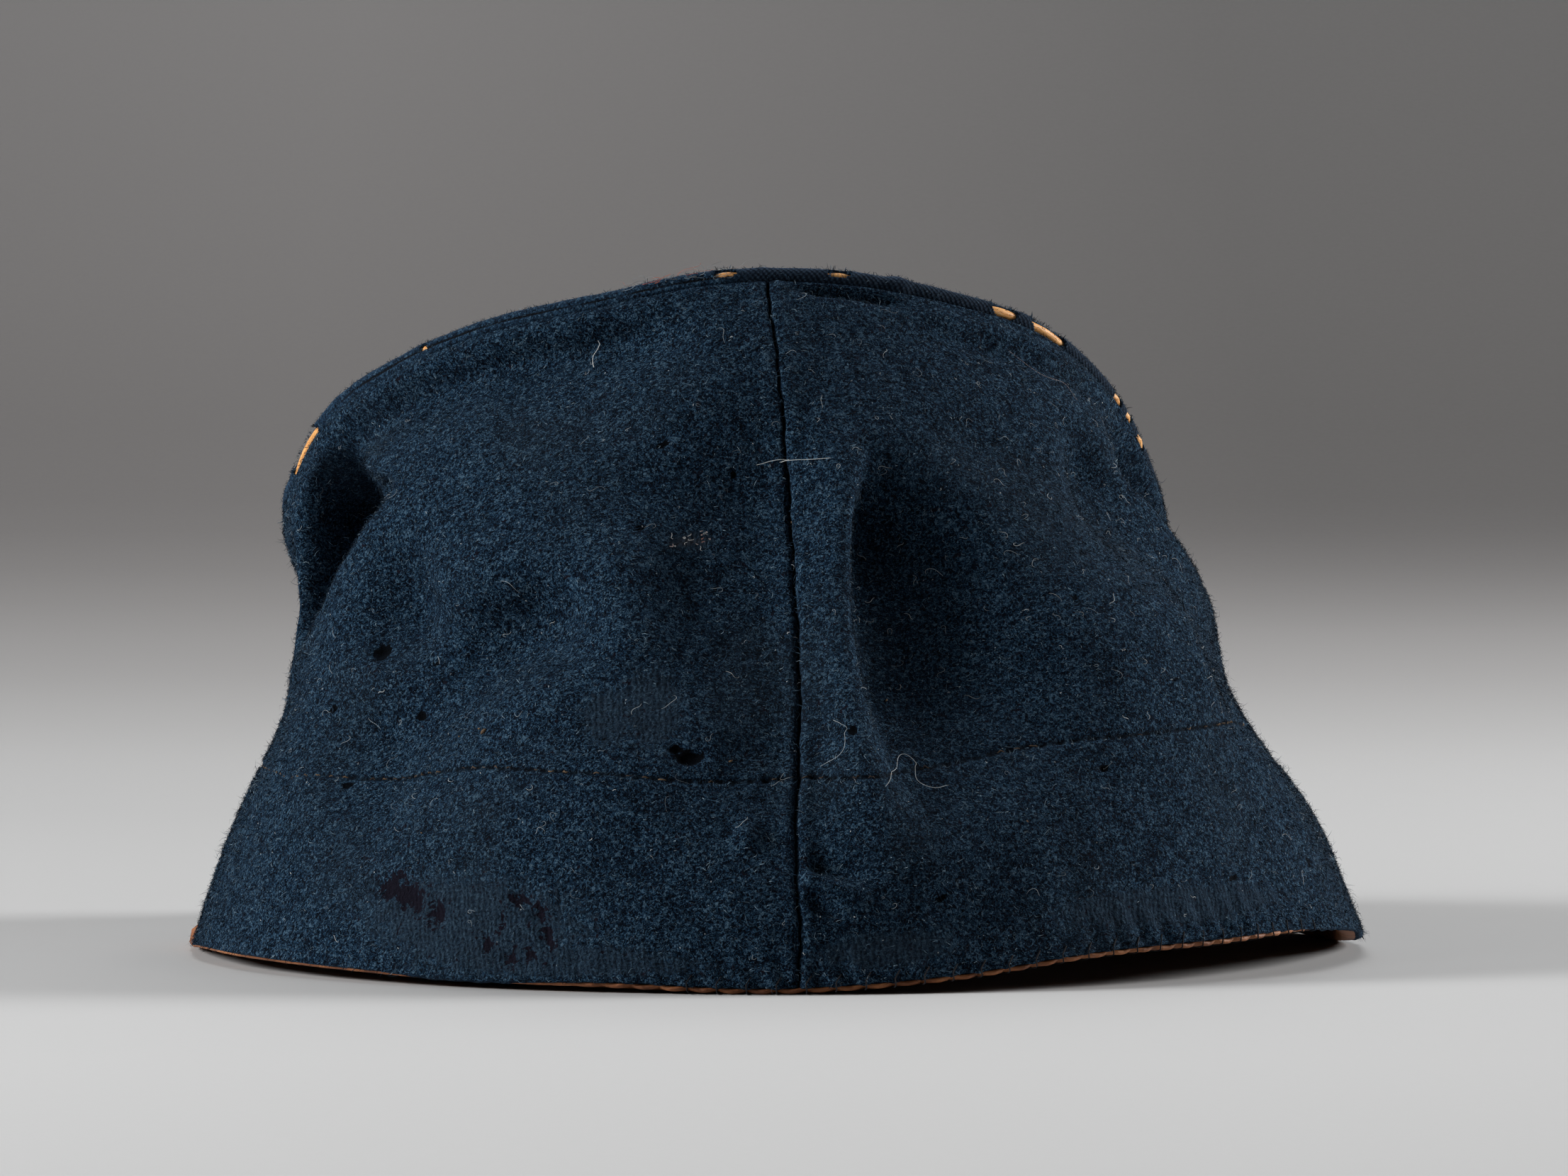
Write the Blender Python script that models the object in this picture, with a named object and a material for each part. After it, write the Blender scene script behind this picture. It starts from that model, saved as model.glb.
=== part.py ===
"""A soft forage cap of napped wool cloth, in metres, with +Z up and the front of the cap towards -Y.

The cloth side (body) rises from an oval rim and leans forward to a round disc (crown_tip). A cane hoop
(welt_reed) in a rolled strip of cloth (welt_cover) stiffens the edge of the disc. A leather sweatband lines
the rim and a leather peak stands out at the front. The cap rests on its rim and on the edge of the peak.
The origin is on the ground under the middle of the whole cap.

Places on the cap are given by an angle round it, in degrees, 0 at the back and positive towards the
wearer's right (-X), and by a share of the way up the side, 0 at the rim and 1 at the crown edge.
"""

import math
from collections import namedtuple

import bpy
import numpy as np

# Driving dimensions, mm
RIM_WIDTH = 176.0
RIM_LENGTH = 193.0
RIM_BEHIND = 23.4  # from the origin back to the middle of the rim
CROWN_WIDTH = 133.8
CROWN_LENGTH = 115.5
CROWN_AHEAD = 32.0  # from the middle of the rim on to the middle of the crown
CROWN_LEFT = 8.7  # the disc has slid this far towards the wearer's left
CROWN_SAG = 3.0
CLOTH = 1.8
LEATHER = 1.2
PEAK_LEATHER = 2.4
GAP = 0.3  # between neighbouring pieces
TIP_GAP = 0.6  # between the disc and its welt
BAND_GAP = 0.9  # between the cloth and the sweatband
REED_RADIUS = 0.7
WELT_CLOTH = 0.45
BAND_HEIGHT = 31.0
BAND_SHOWS = 0.9  # how much of the leather's edge shows below the cloth
PEAK_REACH = 45.0
PEAK_UP = 1.5  # from the rim up to the middle of the peak's root
PEAK_ROOT = 1.0  # the peak's reach at its two ends
PEAK_CLEAR = 0.7  # between the peak's middle sheet and the cloth
WELT_HOLDS = 7.0  # the welt keeps the cloth this near to it from folding

# The peak spans this many degrees on each side of the front. Its outline is fuller with a higher fullness
# and squarer with a lower roundness. forward is how much of its reach is straight ahead, and droop above 1
# bends it down towards its edge.
PEAK_HALF_ANGLE = 68.0
PEAK_FULLNESS = 2.4
PEAK_ROUNDNESS = 0.75
PEAK_FORWARD = 0.55
PEAK_DROOP = 1.3

# Faces that meet at more than this many degrees keep a sharp edge.
SHARP = 50

# Small steps, in degrees and in share of the height, over which the direction of a surface is measured.
TURN_STEP = 0.5
RISE_STEP = 0.004

RIM_RADIUS = (RIM_WIDTH + RIM_LENGTH) / 4
CROWN_RADIUS = (CROWN_WIDTH + CROWN_LENGTH) / 4
WELT_INSIDE = REED_RADIUS + GAP
WELT_RADIUS = WELT_INSIDE + WELT_CLOTH
CROWN_MIDDLE = np.array([CROWN_LEFT, RIM_BEHIND - CROWN_AHEAD])
MM = 0.001

# Height of the rim over the table, how far the side bulges out a quarter, a half and three quarters of the
# way up, and the height of the crown edge, all in mm.
Section = namedtuple("Section", "angle rim_up low middle high crown_up")
SECTIONS = (
    Section(-180, 12.0, 1.0, 3.0, 2.0, 44.5),
    Section(-150, 9.0, 1.0, 3.0, 2.0, 46.5),
    Section(-120, 3.0, 0.0, 0.0, 2.0, 52.5),
    Section(-105, 0.0, -2.0, -3.2, -0.3, 58.5),
    Section(-90, 0.0, -3.2, -5.8, -3.2, 65.0),
    Section(-75, 1.4, -2.0, -5.6, -3.4, 70.8),
    Section(-60, 1.6, 0.0, -2.7, -1.2, 80.5),
    Section(-45, 1.4, 2.0, 2.5, 2.0, 87.0),
    Section(-30, 0.9, 4.5, 4.5, 3.0, 92.2),
    Section(-15, 0.6, 6.5, 6.0, 3.5, 95.6),
    Section(0, 0.0, 8.0, 6.5, 4.0, 98.9),
    Section(15, 1.4, 7.0, 6.0, 3.5, 99.0),
    Section(30, 4.0, 5.0, 4.5, 3.0, 96.4),
    Section(45, 4.8, 3.0, 2.0, 1.5, 92.1),
    Section(60, 5.4, 1.3, -1.3, 0.3, 83.6),
    Section(75, 4.0, 0.6, -3.2, 0.0, 72.4),
    Section(90, 1.0, 1.2, -3.2, -0.8, 65.8),
    Section(105, 0.0, 0.5, -2.0, 0.5, 58.5),
    Section(120, 2.5, 0.0, 0.0, 1.0, 53.0),
    Section(150, 9.0, 1.0, 3.0, 2.0, 46.5),
)

# Valleys in the cloth, and ridges where depth is below 0. Each runs from a start to an end place. Its
# half-width goes from start_wide to end_wide, faster with more flare. steep makes the side on the left of
# its run narrower, 0 to 1. depth is how far the cloth goes in there, turn how far that way in is turned from
# straight in, in degrees, and tuck how far it is pulled up. edge is how square its walls are, and the fades
# are the lengths of its two ends. Lengths are in mm.
Fold = namedtuple(
    "Fold",
    "name angle share to_angle to_share start_wide end_wide flare steep depth tuck edge fade_in fade_out turn",
)
FOLDS = (
    Fold("side_pocket", -41.0, 0.785, -75, 0.74, 0.5, 12.6, 0.6, 0.1, 24.0, 0.0, 4.0, 3.0, 14.0, 42),
    Fold("side_pinch", -72, 0.74, -140, 0.66, 9.0, 11.0, 0.1, 0.0, 8.0, 0.0, 1.6, 15.0, 30.0, 0),
    Fold("back_pleat", 16, 0.79, 15.5, 0.16, 4.5, 12.0, 0.2, -0.50, 12.5, 0.0, 2.1, 26.0, 28.0, 18),
    Fold("pleat_ridge", 10.5, 0.84, 9.5, 0.14, 6.0, 7.0, 0.1, 0.0, -3.0, 0.0, 2.0, 25.0, 25.0, 0),
    Fold("seam_valley", 5.5, 0.88, 4.5, 0.08, 14.0, 14.0, 0.1, 0.45, 8.0, 0.0, 2.0, 30.0, 30.0, 0),
    Fold("left_ridge", -10.5, 0.72, -14, 0.38, 6.0, 7.0, 0.1, 0.0, -3.0, 0.0, 2.0, 16.0, 16.0, 0),
    Fold("left_hollow", -21, 0.63, -23, 0.38, 8.5, 10.5, 0.1, 0.0, 8.5, 0.0, 2.0, 14.0, 14.0, 0),
    Fold("long_crease", -22, 0.54, -52, 0.25, 10.0, 15.0, 0.1, 0.0, 9.0, 0.0, 2.0, 16.0, 18.0, 0),
    Fold("left_crease", -40, 0.74, -41, 0.44, 6.5, 7.5, 0.1, 0.0, 8.0, 0.0, 2.0, 18.0, 14.0, 0),
    Fold("welt_dip", -66, 0.925, 0, 0.93, 6.0, 6.0, 0.1, 0.0, 4.5, 0.0, 2.0, 12.0, 15.0, 0),
    Fold("right_dent", 50, 0.87, 114, 0.88, 4.0, 5.5, 0.1, 0.0, 6.5, 0.0, 2.0, 16.0, 20.0, 0),
    Fold("right_crease", 47, 0.86, 45, 0.56, 7.0, 9.0, 0.1, -0.3, 6.0, 0.0, 2.0, 12.0, 14.0, 0),
    Fold("right_swell", 24, 0.48, 60, 0.50, 18.0, 18.0, 0.1, 0.0, -6.0, 0.0, 2.0, 18.0, 18.0, 0),
)

# Angles at which the cloth is divided: from, to, number of steps.
DIVISIONS = (
    (-180, -110, 6),
    (-110, -74, 10),
    (-74, -66, 2),
    (-66, -40, 10),
    (-40, -4, 10),
    (-4, 12, 8),
    (12, 36, 7),
    (36, 40, 1),
    (40, 44, 1),
    (44, 49, 1),
    (49, 112, 8),
    (112, 180, 6),
)

# Shares of the side's height at which it is divided, in the same way.
LEVELS = ((0, 0.5, 5), (0.5, 0.95, 11), (0.95, 1, 1))
BAND_ROWS = 6
TIP_RINGS = 3
PEAK_ROWS = 5
PEAK_COLUMNS = 24
COVER_SIDES = 7
REED_SIDES = 5

# Where the cover of the welt is worn through, as angles round the crown, and the share of its girth gone.
WORN_PLACES = ((-74, -66), (36, 40), (44, 49))
WORN_SIDES = 3


def hermite(s, start, end, leave, arrive):
    """A smooth run from start to end as s goes from 0 to 1, with the slopes it leaves and arrives at."""
    return (
        start * (1 + 2 * s) * (1 - s) ** 2
        + leave * s * (1 - s) ** 2
        + end * s**2 * (3 - 2 * s)
        + arrive * s**2 * (s - 1)
    )


def smooth_loop(angle, knots, values):
    """Values at the angles of a closed table, on a smooth curve through its rows."""
    period = 360.0
    x = np.concatenate([knots[-2:] - period, knots, knots[:3] + period])
    y = np.concatenate([values[-2:], values, values[:3]])
    slope = np.gradient(y, x)
    turned = (angle - knots[0]) % period + knots[0]
    i = np.clip(np.searchsorted(x, turned, side="right") - 1, 0, len(x) - 2)
    width = x[i + 1] - x[i]
    s = (turned - x[i]) / width
    return hermite(s, y[i], y[i + 1], slope[i] * width, slope[i + 1] * width)


def section_value(name, angle):
    knots = np.array([row.angle for row in SECTIONS], float)
    values = np.array([getattr(row, name) for row in SECTIONS], float)
    return smooth_loop(angle, knots, values)


def ease(x):
    x = np.clip(x, 0, 1)
    return x * x * (3 - 2 * x)


def unit(v):
    return v / np.linalg.norm(v, axis=-1, keepdims=True)


def square_to(v, along):
    """The direction of v with its part along a unit vector taken away."""
    return unit(v - along * (v * along).sum(-1, keepdims=True))


def outward(angle):
    """The level direction away from the cap's middle, square to the rim."""
    turn = np.radians(angle)
    across = -np.sin(turn) / RIM_WIDTH
    along = np.cos(turn) / RIM_LENGTH
    return unit(np.stack([across, along, np.zeros_like(across)], axis=-1))


def rim_height(angle):
    """The rim's height over the table, level wherever it rests."""
    return np.maximum(section_value("rim_up", angle), 0)


def rim_point(angle):
    """The lowest edge of the cap, where the leather shows below the cloth."""
    turn = np.radians(angle)
    x = -0.5 * RIM_WIDTH * np.sin(turn)
    y = RIM_BEHIND + 0.5 * RIM_LENGTH * np.cos(turn)
    return np.stack([x, y, rim_height(angle)], axis=-1)


def crown_point(angle):
    """The middle of the welt."""
    turn = np.radians(angle)
    x = CROWN_MIDDLE[0] - 0.5 * CROWN_WIDTH * np.sin(turn)
    y = CROWN_MIDDLE[1] + 0.5 * CROWN_LENGTH * np.cos(turn)
    return np.stack([x, y, section_value("crown_up", angle)], axis=-1)


def along_crown(angle):
    """The unit direction of the crown edge, going round with the angle."""
    return unit(crown_point(angle + TURN_STEP) - crown_point(angle - TURN_STEP))


def side_height(angle):
    return np.linalg.norm(crown_point(angle) - rim_point(angle), axis=-1)


def bulge(angle, share):
    """How far the side stands out from the straight line between rim and crown edge."""
    quarters = [section_value(name, angle) for name in ("low", "middle", "high")]
    values = np.stack([np.zeros_like(angle), *quarters, np.zeros_like(angle)])
    slopes = np.gradient(values, axis=0)
    quarter = np.clip(np.floor(share * 4), 0, 3).astype(int)
    s = share * 4 - quarter
    here = quarter[None]
    start, end = (np.take_along_axis(values, i, axis=0)[0] for i in (here, here + 1))
    leave, arrive = (np.take_along_axis(slopes, i, axis=0)[0] for i in (here, here + 1))
    return hermite(s, start, end, leave, arrive)


def seat_directions(angle):
    """Where the side meets the welt: the directions away from the welt and out through the cloth."""
    along = along_crown(angle)
    below = square_to(rim_point(angle) - crown_point(angle), along)
    return below, square_to(square_to(outward(angle), along), below)


def smooth_side(angle, share):
    """The outer face of the side with no folds in it."""
    rim = rim_point(angle)
    crown = crown_point(angle)
    below, through = seat_directions(angle)
    hem = rim + unit(crown - rim) * BAND_SHOWS
    top = crown + below * (WELT_RADIUS + GAP) + through * CLOTH / 2
    at = share[..., None]
    return hem * (1 - at) + top * at + outward(angle) * bulge(angle, share)[..., None]


def facing(surface, angle, share):
    """The unit normal, pointing out of the cap, of a surface given as a function of angle and share."""
    round_ = surface(angle + TURN_STEP, share) - surface(angle - TURN_STEP, share)
    up = surface(angle, share + RISE_STEP) - surface(angle, share - RISE_STEP)
    return unit(np.cross(round_, up))


def fold_depth(fold, angle, share):
    """How deep one valley is at a place, from 0 to 1."""
    girth = np.radians(1) * (RIM_RADIUS * (1 - share) + CROWN_RADIUS * share)
    height = side_height(angle)
    run = np.stack([(fold.to_angle - fold.angle) * girth, (fold.to_share - fold.share) * height], -1)
    away = np.stack([(angle - fold.angle) * girth, (share - fold.share) * height], -1)
    length = np.linalg.norm(run, axis=-1)
    run = run / length[..., None]
    along = (away * run).sum(-1)
    aside = away[..., 1] * run[..., 0] - away[..., 0] * run[..., 1]
    spread = fold.end_wide - fold.start_wide
    wide = fold.start_wide + spread * np.clip(fold.flare * along / max(abs(spread), 1), 0, 1)
    wide = np.where(aside > 0, wide * (1 - fold.steep), wide * (1 + fold.steep))
    across = np.exp(-(np.abs(aside / wide) ** fold.edge))
    return across * ease(along / fold.fade_in) * ease((length - along) / fold.fade_out)


def side_point(angle, share):
    """The outer face of the side, folds and all. The folds die out at the welt, where the cloth is held."""
    place = smooth_side(angle, share)
    held = ease((1 - share) * side_height(angle) / WELT_HOLDS)
    for fold in FOLDS:
        deep = (fold_depth(fold, angle, share) * held)[..., None]
        place = place - outward(angle + fold.turn) * fold.depth * deep
        place = place + np.array([0, 0, fold.tuck]) * deep
    return place


def stops(divisions):
    runs = [np.linspace(start, end, steps, endpoint=False) for start, end, steps in divisions]
    return np.concatenate(runs)


def division_angles():
    return stops(DIVISIONS)


def grid_normals(points, closed):
    """Unit normals of a grid of points whose rows go up and whose columns go round."""
    if closed:
        round_ = np.roll(points, -1, axis=1) - np.roll(points, 1, axis=1)
    else:
        round_ = np.gradient(points, axis=1)
    return unit(np.cross(round_, np.gradient(points, axis=0)))


def grid_faces(rows, columns, closed):
    """Quads between neighbouring rows of points, running on from the last column to the first if closed."""
    faces = []
    for row in range(rows - 1):
        for column in range(columns if closed else columns - 1):
            following = (column + 1) % columns
            low = row * columns
            high = low + columns
            faces.append((low + column, low + following, high + following, high + column))
    return faces


def shell_faces(rows, columns, closed):
    """The faces of a wall between an outer and an inner grid of points, numbered one after the other."""
    outer = grid_faces(rows, columns, closed)
    behind = rows * columns
    faces = outer + [tuple(behind + v for v in reversed(face)) for face in outer]
    edges = []
    for column in range(columns if closed else columns - 1):
        following = (column + 1) % columns
        top = (rows - 1) * columns
        edges += [(following, column), (top + column, top + following)]
    if not closed:
        for row in range(rows - 1):
            low = row * columns
            high = low + columns
            edges += [(low, high), (high + columns - 1, low + columns - 1)]
    return faces + [(a, b, b + behind, a + behind) for a, b in edges]


def material(name, colour, roughness):
    made = bpy.data.materials.new(name)
    made.use_nodes = True
    shader = made.node_tree.nodes["Principled BSDF"]
    shader.inputs["Base Color"].default_value = (*colour, 1.0)
    shader.inputs["Roughness"].default_value = roughness
    return made


def add_object(name, points, faces, finish):
    mesh = bpy.data.meshes.new(name)
    mesh.from_pydata([tuple(p) for p in np.reshape(points, (-1, 3)) * MM], [], faces)
    mesh.materials.append(finish)
    mesh.shade_smooth()
    mesh.set_sharp_from_angle(angle=math.radians(SHARP))
    made = bpy.data.objects.new(name, mesh)
    bpy.context.scene.collection.objects.link(made)
    return made


def add_shell(name, outer, inner, finish, closed):
    faces = shell_faces(*outer.shape[:2], closed)
    return add_object(name, np.stack([outer, inner]), faces, finish)


def make_body(cloth):
    shares = np.append(stops(LEVELS), 1)
    angle, share = np.meshgrid(division_angles(), shares)
    outer = side_point(angle, share)
    inner = outer - grid_normals(outer, closed=True) * CLOTH
    inner[0, :, 2] = outer[0, :, 2]
    inner[-1] = outer[-1] - seat_directions(angle[-1])[1] * CLOTH
    add_shell("body", outer, inner, cloth, closed=True)


def make_sweatband(leather):
    """The leather lies behind the cloth. Its lower edge is cut level and shows below the hem."""
    angles = division_angles()
    height = side_height(angles)
    normal = facing(side_point, angles, np.zeros_like(angles))
    lean = normal[:, 2] / np.hypot(normal[:, 0], normal[:, 1])
    start = ((CLOTH + BAND_GAP + LEATHER) * lean - BAND_SHOWS) / height
    end = BAND_HEIGHT / height
    rows = np.linspace(0, 1, BAND_ROWS + 1)[:, None]
    share = start * (1 - rows) + end * rows
    face = side_point(np.broadcast_to(angles, share.shape), share)
    normals = grid_normals(face, closed=True)
    outer = face - normals * (CLOTH + BAND_GAP)
    inner = face - normals * (CLOTH + BAND_GAP + LEATHER)
    outer[0, :, 2] = inner[0, :, 2] = rim_height(angles)
    add_shell("sweatband", outer, inner, leather, closed=True)


def make_crown_tip(cloth):
    """The disc: a slightly sagging sheet stretched between the edges of the welt."""
    even = np.linspace(-180, 180, 72, endpoint=False)
    level = crown_point(even)[:, 2]
    tilt = 2 * (level * np.cos(np.radians(even))).mean()
    roll = 2 * (level * np.sin(np.radians(even))).mean()
    angles = division_angles()
    turn = np.radians(angles)
    edge = crown_point(angles)
    centre = np.array([*CROWN_MIDDLE, level.mean()])
    edge = edge + square_to(centre - edge, along_crown(angles)) * (WELT_RADIUS + TIP_GAP)
    slope = tilt * np.cos(turn) + roll * np.sin(turn)
    rest = edge[:, 2] - centre[2] - slope
    rings = np.linspace(1, 0, TIP_RINGS, endpoint=False)[:, None]
    across = centre[:2] + (edge[:, :2] - centre[:2]) * rings[..., None]
    up = centre[2] + slope * rings + rest * rings**2 - CROWN_SAG * (1 - rings**2)
    sheet = np.concatenate([across, up[..., None]], axis=-1)
    middle = np.array([[*centre[:2], centre[2] - CROWN_SAG]])
    count = len(angles)
    faces = grid_faces(TIP_RINGS, count, closed=True)
    last = (TIP_RINGS - 1) * count
    faces += [(last + i, last + (i + 1) % count, TIP_RINGS * count) for i in range(count)]
    tip = add_object("crown_tip", np.concatenate([sheet.reshape(-1, 3), middle]), faces, cloth)
    thicken(tip, CLOTH)


def thicken(made, thickness):
    """Gives a sheet its thickness, half on each side."""
    solid = made.modifiers.new("thickness", "SOLIDIFY")
    solid.thickness = thickness * MM
    solid.offset = 0


def ring_tube(angles, radius, sides):
    """Points of a tube round the crown edge: one row for each side, one column for each angle."""
    centre = crown_point(angles)
    along = along_crown(angles)
    out = square_to(outward(angles), along)
    up = np.cross(out, along)
    turn = 2 * math.pi * np.arange(sides) / sides
    return centre + radius * (
        np.cos(turn)[:, None, None] * out + np.sin(turn)[:, None, None] * up
    )


def tube_faces(sides, columns):
    """The quads of a ring tube, keyed by side and column."""
    faces = {}
    for side in range(sides):
        for column in range(columns):
            here = side * columns
            next_ = (side + 1) % sides * columns
            following = (column + 1) % columns
            faces[side, column] = (here + column, here + following, next_ + following, next_ + column)
    return faces


def make_welt_reed(cane):
    angles = division_angles()
    points = ring_tube(angles, REED_RADIUS, REED_SIDES)
    add_object("welt_reed", points, list(tube_faces(REED_SIDES, len(angles)).values()), cane)


def make_welt_cover(twill):
    """The rolled strip round the reed, open where it is worn through."""
    angles = division_angles()
    points = ring_tube(angles, WELT_INSIDE + WELT_CLOTH / 2, COVER_SIDES)
    faces = tube_faces(COVER_SIDES, len(angles))
    for start, end in WORN_PLACES:
        for column in np.flatnonzero((angles >= start) & (angles < end)):
            for side in range(WORN_SIDES):
                del faces[side, int(column)]
    cover = add_object("welt_cover", points, list(faces.values()), twill)
    thicken(cover, WELT_CLOTH)


def make_peak(leather):
    """A crescent that slopes from the front of the rim down to its own edge, which meets the ground."""
    angles = np.linspace(180 - PEAK_HALF_ANGLE, 180 + PEAK_HALF_ANGLE, PEAK_COLUMNS + 1)
    root = side_point(angles, PEAK_UP / side_height(angles)) + outward(angles) * PEAK_CLEAR
    aside = np.abs(angles - 180) / PEAK_HALF_ANGLE
    reach = PEAK_REACH * (1 - aside**PEAK_FULLNESS) ** PEAK_ROUNDNESS + PEAK_ROOT
    ahead = unit((1 - PEAK_FORWARD) * outward(angles) + PEAK_FORWARD * np.array([0, -1, 0]))
    rows = np.linspace(0, 1, PEAK_ROWS + 1)[:, None]
    sheet = root + ahead * (reach * rows)[..., None]
    lowest = PEAK_LEATHER / 2
    start = root[:, 2] + lowest
    fall = (start - lowest) * reach / reach.max()
    sheet[..., 2] = start - fall * rows**PEAK_DROOP
    normals = -grid_normals(sheet, closed=False)
    upper = sheet + normals * PEAK_LEATHER / 2
    lower = sheet - normals * PEAK_LEATHER / 2
    lower[..., 2] = np.maximum(lower[..., 2], 0)
    add_shell("peak", lower, upper, leather, closed=False)


def main():
    for old in list(bpy.data.objects):
        bpy.data.objects.remove(old)
    cloth = material("wool_cloth", (0.005, 0.0127, 0.0254), 0.95)
    twill = material("welt_cloth", (0.004, 0.009, 0.018), 0.9)
    tan = material("tan_leather", (0.28, 0.11, 0.04), 0.6)
    black = material("black_leather", (0.012, 0.011, 0.010), 0.4)
    cane = material("cane", (0.62, 0.30, 0.10), 0.5)
    make_body(cloth)
    make_crown_tip(cloth)
    make_welt_cover(twill)
    make_welt_reed(cane)
    make_sweatband(tan)
    make_peak(black)


if __name__ == "__main__":
    main()
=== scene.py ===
"""The looks of a soft forage cap of napped wool cloth, built round its CAD frame.

Lengths are in mm until a mesh is made, in the frame's axes: +Z up, the front of the cap towards -Y. Places
on the cap are given by an angle round it, in degrees, 0 at the back and positive towards the wearer's right
(-X), and by a share of the way up the side, 0 at the rim and 1 at the crown edge.
"""

import itertools
import math
from collections import namedtuple

import bpy
import numpy as np
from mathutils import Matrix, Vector


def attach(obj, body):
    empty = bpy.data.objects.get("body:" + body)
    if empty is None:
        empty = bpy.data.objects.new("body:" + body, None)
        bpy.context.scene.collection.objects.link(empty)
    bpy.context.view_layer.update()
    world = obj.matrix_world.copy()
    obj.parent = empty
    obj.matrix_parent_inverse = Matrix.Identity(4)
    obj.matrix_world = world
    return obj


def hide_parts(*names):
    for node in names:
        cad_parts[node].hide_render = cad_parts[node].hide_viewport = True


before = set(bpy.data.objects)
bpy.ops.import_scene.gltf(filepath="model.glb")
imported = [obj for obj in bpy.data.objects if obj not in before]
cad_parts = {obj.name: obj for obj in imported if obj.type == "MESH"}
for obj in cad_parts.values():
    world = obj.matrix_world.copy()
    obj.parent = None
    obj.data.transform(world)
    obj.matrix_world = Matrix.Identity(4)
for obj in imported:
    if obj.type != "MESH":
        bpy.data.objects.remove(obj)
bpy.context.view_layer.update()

# ---------------------------------------------------------------- the cap's shape, as the CAD has it

RIM_WIDTH = 176.0
RIM_LENGTH = 193.0
RIM_BEHIND = 23.4
CROWN_WIDTH = 133.8
CROWN_LENGTH = 115.5
CROWN_AHEAD = 32.0
CROWN_LEFT = 8.7
CROWN_SAG = 3.0
CLOTH = 1.8
PEAK_LEATHER = 2.4
GAP = 0.3
TIP_GAP = 0.6
REED_RADIUS = 0.7
WELT_CLOTH = 0.45
BAND_HEIGHT = 31.0
BAND_SHOWS = 0.9
PEAK_REACH = 45.0
PEAK_UP = 1.5
PEAK_ROOT = 1.0
PEAK_CLEAR = 0.7
WELT_HOLDS = 7.0
PEAK_HALF_ANGLE = 68.0
PEAK_FULLNESS = 2.4
PEAK_ROUNDNESS = 0.75
PEAK_FORWARD = 0.55
PEAK_DROOP = 1.3
TURN_STEP = 0.5

RIM_RADIUS = (RIM_WIDTH + RIM_LENGTH) / 4
CROWN_RADIUS = (CROWN_WIDTH + CROWN_LENGTH) / 4
WELT_INSIDE = REED_RADIUS + GAP
WELT_RADIUS = WELT_INSIDE + WELT_CLOTH
CROWN_MIDDLE = np.array([CROWN_LEFT, RIM_BEHIND - CROWN_AHEAD])
MM = 0.001

# Each section up the side: its angle, the rim's height, how far it bulges a quarter, half and three quarters
# of the way up, and the crown's height.
Section = namedtuple("Section", "angle rim_up low middle high crown_up")
SECTIONS = [Section(*row) for row in (
    (-180, 12.0, 1.0, 3.0, 2.0, 44.5),
    (-150, 9.0, 1.0, 3.0, 2.0, 46.5),
    (-120, 3.0, 0.0, 0.0, 2.0, 52.5),
    (-105, 0.0, -2.0, -3.2, -0.3, 58.5),
    (-90, 0.0, -3.2, -5.8, -3.2, 65.0),
    (-75, 1.4, -2.0, -5.6, -3.4, 70.8),
    (-60, 1.6, 0.0, -2.7, -1.2, 80.5),
    (-45, 1.4, 2.0, 2.5, 2.0, 87.0),
    (-30, 0.9, 4.5, 4.5, 3.0, 92.2),
    (-15, 0.6, 6.5, 6.0, 3.5, 95.6),
    (0, 0.0, 8.0, 6.5, 4.0, 98.9),
    (15, 1.4, 7.0, 6.0, 3.5, 99.0),
    (30, 4.0, 5.0, 4.5, 3.0, 96.4),
    (45, 4.8, 3.0, 2.0, 1.5, 92.1),
    (60, 5.4, 1.3, -1.3, 0.3, 83.6),
    (75, 4.0, 0.6, -3.2, 0.0, 72.4),
    (90, 1.0, 1.2, -3.2, -0.8, 65.8),
    (105, 0.0, 0.5, -2.0, 0.5, 58.5),
    (120, 2.5, 0.0, 0.0, 1.0, 53.0),
    (150, 9.0, 1.0, 3.0, 2.0, 46.5),
)]

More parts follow.
